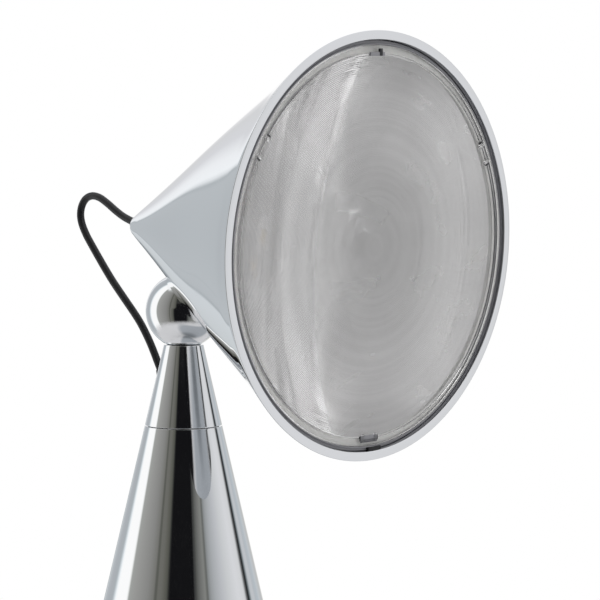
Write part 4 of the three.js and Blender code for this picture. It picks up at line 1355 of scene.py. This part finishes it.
class LAMP_OT_lens_seat(bpy.types.Operator):
    """Makes the soft ring round the lens and the ring that carries it."""

    bl_idname = "lamp.lens_seat"
    bl_label = "Lens seat"

    def execute(self, context):
        sizes = context.scene.lamp_sizes
        place = head_place(sizes)
        lean = head_lean(sizes)
        inset = (sizes.head_wall + FIT_GAP) / math.cos(lean)
        lip, lip_back = rim_lip(sizes)
        edge, shoulder, _, _, back = lens_lines(sizes)
        step_depth, sleeve_wall, sleeve_drop = 0.0009, 0.0006, 0.0012
        top = back - FIT_GAP
        bottom = top - sizes.carrier_depth
        step = top - step_depth
        low = step + FIT_GAP
        floor = low + sizes.gasket_depth
        inner, outer = edge + FIT_GAP, lip - FIT_GAP
        sleeve, sleeve_end = inner + sleeve_wall, sizes.head_length - sleeve_drop

        def wall(height):
            return height * math.tan(lean) - inset

        make_piece(
            "lens_ring_seal", "head", "black_rubber", ["lens_gasket"],
            eased([
                (inner, low, 0), (wall(low), low, FINE), (outer, lip_back, 0), (outer, floor, ROUND),
                (sleeve, floor, SMALL), (sleeve, sleeve_end, FINE), (inner, sleeve_end, FINE),
            ]),
            place, 384, finish="gasket_rubber",
        )
        make_piece(
            "lens_seat_ring", "head", "white_plastic", ["lens_carrier"],
            eased([
                (shoulder + FIT_GAP, bottom, SOFT), (wall(bottom), bottom, 0),
                (wall(step), step, 0), (edge - FIT_GAP, step, 0),
                (edge - FIT_GAP, top, FINE), (shoulder + FIT_GAP, top, SOFT),
            ]),
            place, 384,
        )
        return {"FINISHED"}


class LAMP_OT_controls(bpy.types.Operator):
    """Makes the charging port, the power button and the charge light on the rear wall."""

    bl_idname = "lamp.controls"
    bl_label = "Controls"

    def execute(self, context):
        sizes = context.scene.lamp_sizes
        wall, floor, proud = sizes.bezel_wall, sizes.bezel_floor, sizes.bezel_proud
        contact_bore, wire_bore = 0.00195, 0.0025
        stretch = (sizes.port_width - sizes.port_opening) / 2
        half = sizes.port_opening / 2
        back = -(sizes.port_depth + floor)
        make_piece(
            "port_bezel", "base", "black_plastic", ["charge_bezel"],
            eased([
                (half + wall, back, FINE), (half + wall, proud, SMALL), (half, proud, ROUND),
                (half, -sizes.port_depth, FINE), (contact_bore, -sizes.port_depth, 0),
                (contact_bore, back, 0),
            ]),
            panel_place(sizes), 96, (stretch, 0),
        )

        button_place = panel_place(sizes, sizes.button_pitch)
        button_back = sizes.button_proud - sizes.button_depth
        bezel_back = button_back - sizes.button_travel - FIT_GAP - floor
        inner = sizes.button_radius + FIT_GAP
        make_piece(
            "button_ring", "base", "black_plastic", ["button_bezel"],
            eased([
                (wire_bore, bezel_back, 0), (inner + wall, bezel_back, FINE),
                (inner + wall, proud, SMALL), (inner, proud, SOFT),
                (inner, bezel_back + floor, 0), (wire_bore, bezel_back + floor, 0),
            ]),
            button_place, 96,
        )

        top, stem_end = sizes.button_proud, bezel_back - FIT_GAP
        dish_edge, dish_depth, dish_curve, dish_turn, stem = 0.0046, 0.00035, 0.06, 0.0765, 0.0022
        dish = arc(
            (0, top - dish_depth + dish_curve), dish_curve, -math.pi / 2,
            -math.pi / 2 + dish_turn, 12,
        )
        dish[0, 0] = 0
        cap = eased([
            (dish_edge, top - 0.0002, 0), (sizes.button_radius, top, 0.0006),
            (sizes.button_radius, button_back, FINE), (stem, button_back, 0),
            (stem, stem_end, 0.0001), (0, stem_end, 0),
        ])
        make_piece(
            "round_button", "power_button", "button_steel", ["power_button"],
            np.vstack([dish, cap]), button_place, 128,
        )

        radius, rise = sizes.window_radius, proud / 4
        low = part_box("indicator_window")[0]
        depth = (Vector((0, 0, 0)) - panel_place(sizes).inverted() @ low).z
        turn = np.linspace(0, math.pi / 2, 9)[1:]
        make_piece(
            "charge_light_window", "base", "clear_plastic", ["indicator_window"],
            np.vstack([
                [(0, -depth), (radius, -depth), (radius, rise)],
                np.c_[radius * np.cos(turn), rise + rise * np.sin(turn)],
            ]),
            panel_place(sizes, sizes.window_pitch), 48,
        )
        return {"FINISHED"}


class LAMP_OT_foot(bpy.types.Operator):
    """Makes the rubber pad under the base, with fine rings in its sole."""

    bl_idname = "lamp.foot"
    bl_label = "Foot pad"

    def execute(self, context):
        sizes = context.scene.lamp_sizes
        radius = sizes.base_radius - sizes.pad_inset
        first, pitch, depth = 0.008, 0.004, 0.0003
        groove = np.array([(0, 0), (0.0002, depth), (0.0008, depth), (0.001, 0)])
        starts = np.arange(first, radius - pitch, pitch)
        grooves = (groove + np.c_[starts, np.zeros(len(starts))][:, None]).reshape(-1, 2)
        edge = eased([
            (radius, 0, ROUND), (radius, sizes.pad_thickness, SMALL), (0, sizes.pad_thickness, 0),
        ])
        make_piece(
            "rubber_foot", "base", "black_rubber", ["foot_pad"],
            np.vstack([[(0, 0)], grooves, edge]),
        )
        return {"FINISHED"}


class LAMP_OT_inner_parts(bpy.types.Operator):
    """Gives every solid that stays its finish, by the finish named in the record."""

    bl_idname = "lamp.inner_parts"
    bl_label = "Inner parts"

    def execute(self, context):
        slots = {part["node"]: part["material_slot"] for part in frame["record"]["subparts"]}
        for name, node in frame["nodes"].items():
            node.data.materials.clear()
            node.data.materials.append(Finishes.get(FINISH_OF[slots[name]]))
        return {"FINISHED"}


class LAMP_PT_panel(bpy.types.Panel):
    """Lists the lamp's operators, sizes and colours."""

    bl_idname = "LAMP_PT_panel"
    bl_label = "Cordless Spot Lamp"
    bl_space_type = "VIEW_3D"
    bl_region_type = "UI"
    bl_category = "Lamp"

    def draw(self, context):
        layout = self.layout
        for operator in OPERATORS:
            layout.operator(operator.bl_idname)
        for label, group in (
            ("Sizes", context.scene.lamp_sizes), ("Colours", context.scene.lamp_colours),
            ("Studio", context.scene.lamp_studio),
        ):
            box = layout.box()
            box.label(text=label)
            for name in group.__annotations__:
                box.prop(group, name)


OPERATORS = (
    LAMP_OT_studio, LAMP_OT_lead, LAMP_OT_stem, LAMP_OT_ball, LAMP_OT_head, LAMP_OT_lens,
    LAMP_OT_lens_seat, LAMP_OT_controls, LAMP_OT_foot, LAMP_OT_inner_parts,
)
GROUPS = {"lamp_sizes": LampSizes, "lamp_colours": LampColours, "lamp_studio": LampStudio}


def register():
    for group in GROUPS.values():
        bpy.utils.register_class(group)
    for name, group in GROUPS.items():
        setattr(bpy.types.Scene, name, PointerProperty(type=group))
    for operator in OPERATORS:
        bpy.utils.register_class(operator)
    bpy.utils.register_class(LAMP_PT_panel)


def unregister():
    bpy.utils.unregister_class(LAMP_PT_panel)
    for operator in reversed(OPERATORS):
        bpy.utils.unregister_class(operator)
    for name in GROUPS:
        delattr(bpy.types.Scene, name)
    for group in reversed(GROUPS.values()):
        bpy.utils.unregister_class(group)


def main():
    """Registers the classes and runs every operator."""
    register()
    bpy.ops.lamp.inner_parts()
    bpy.ops.lamp.studio()
    bpy.ops.lamp.lead()
    bpy.ops.lamp.stem()
    bpy.ops.lamp.ball()
    bpy.ops.lamp.head()
    bpy.ops.lamp.lens()
    bpy.ops.lamp.lens_seat()
    bpy.ops.lamp.controls()
    bpy.ops.lamp.foot()


if __name__ == "__main__":
    main()
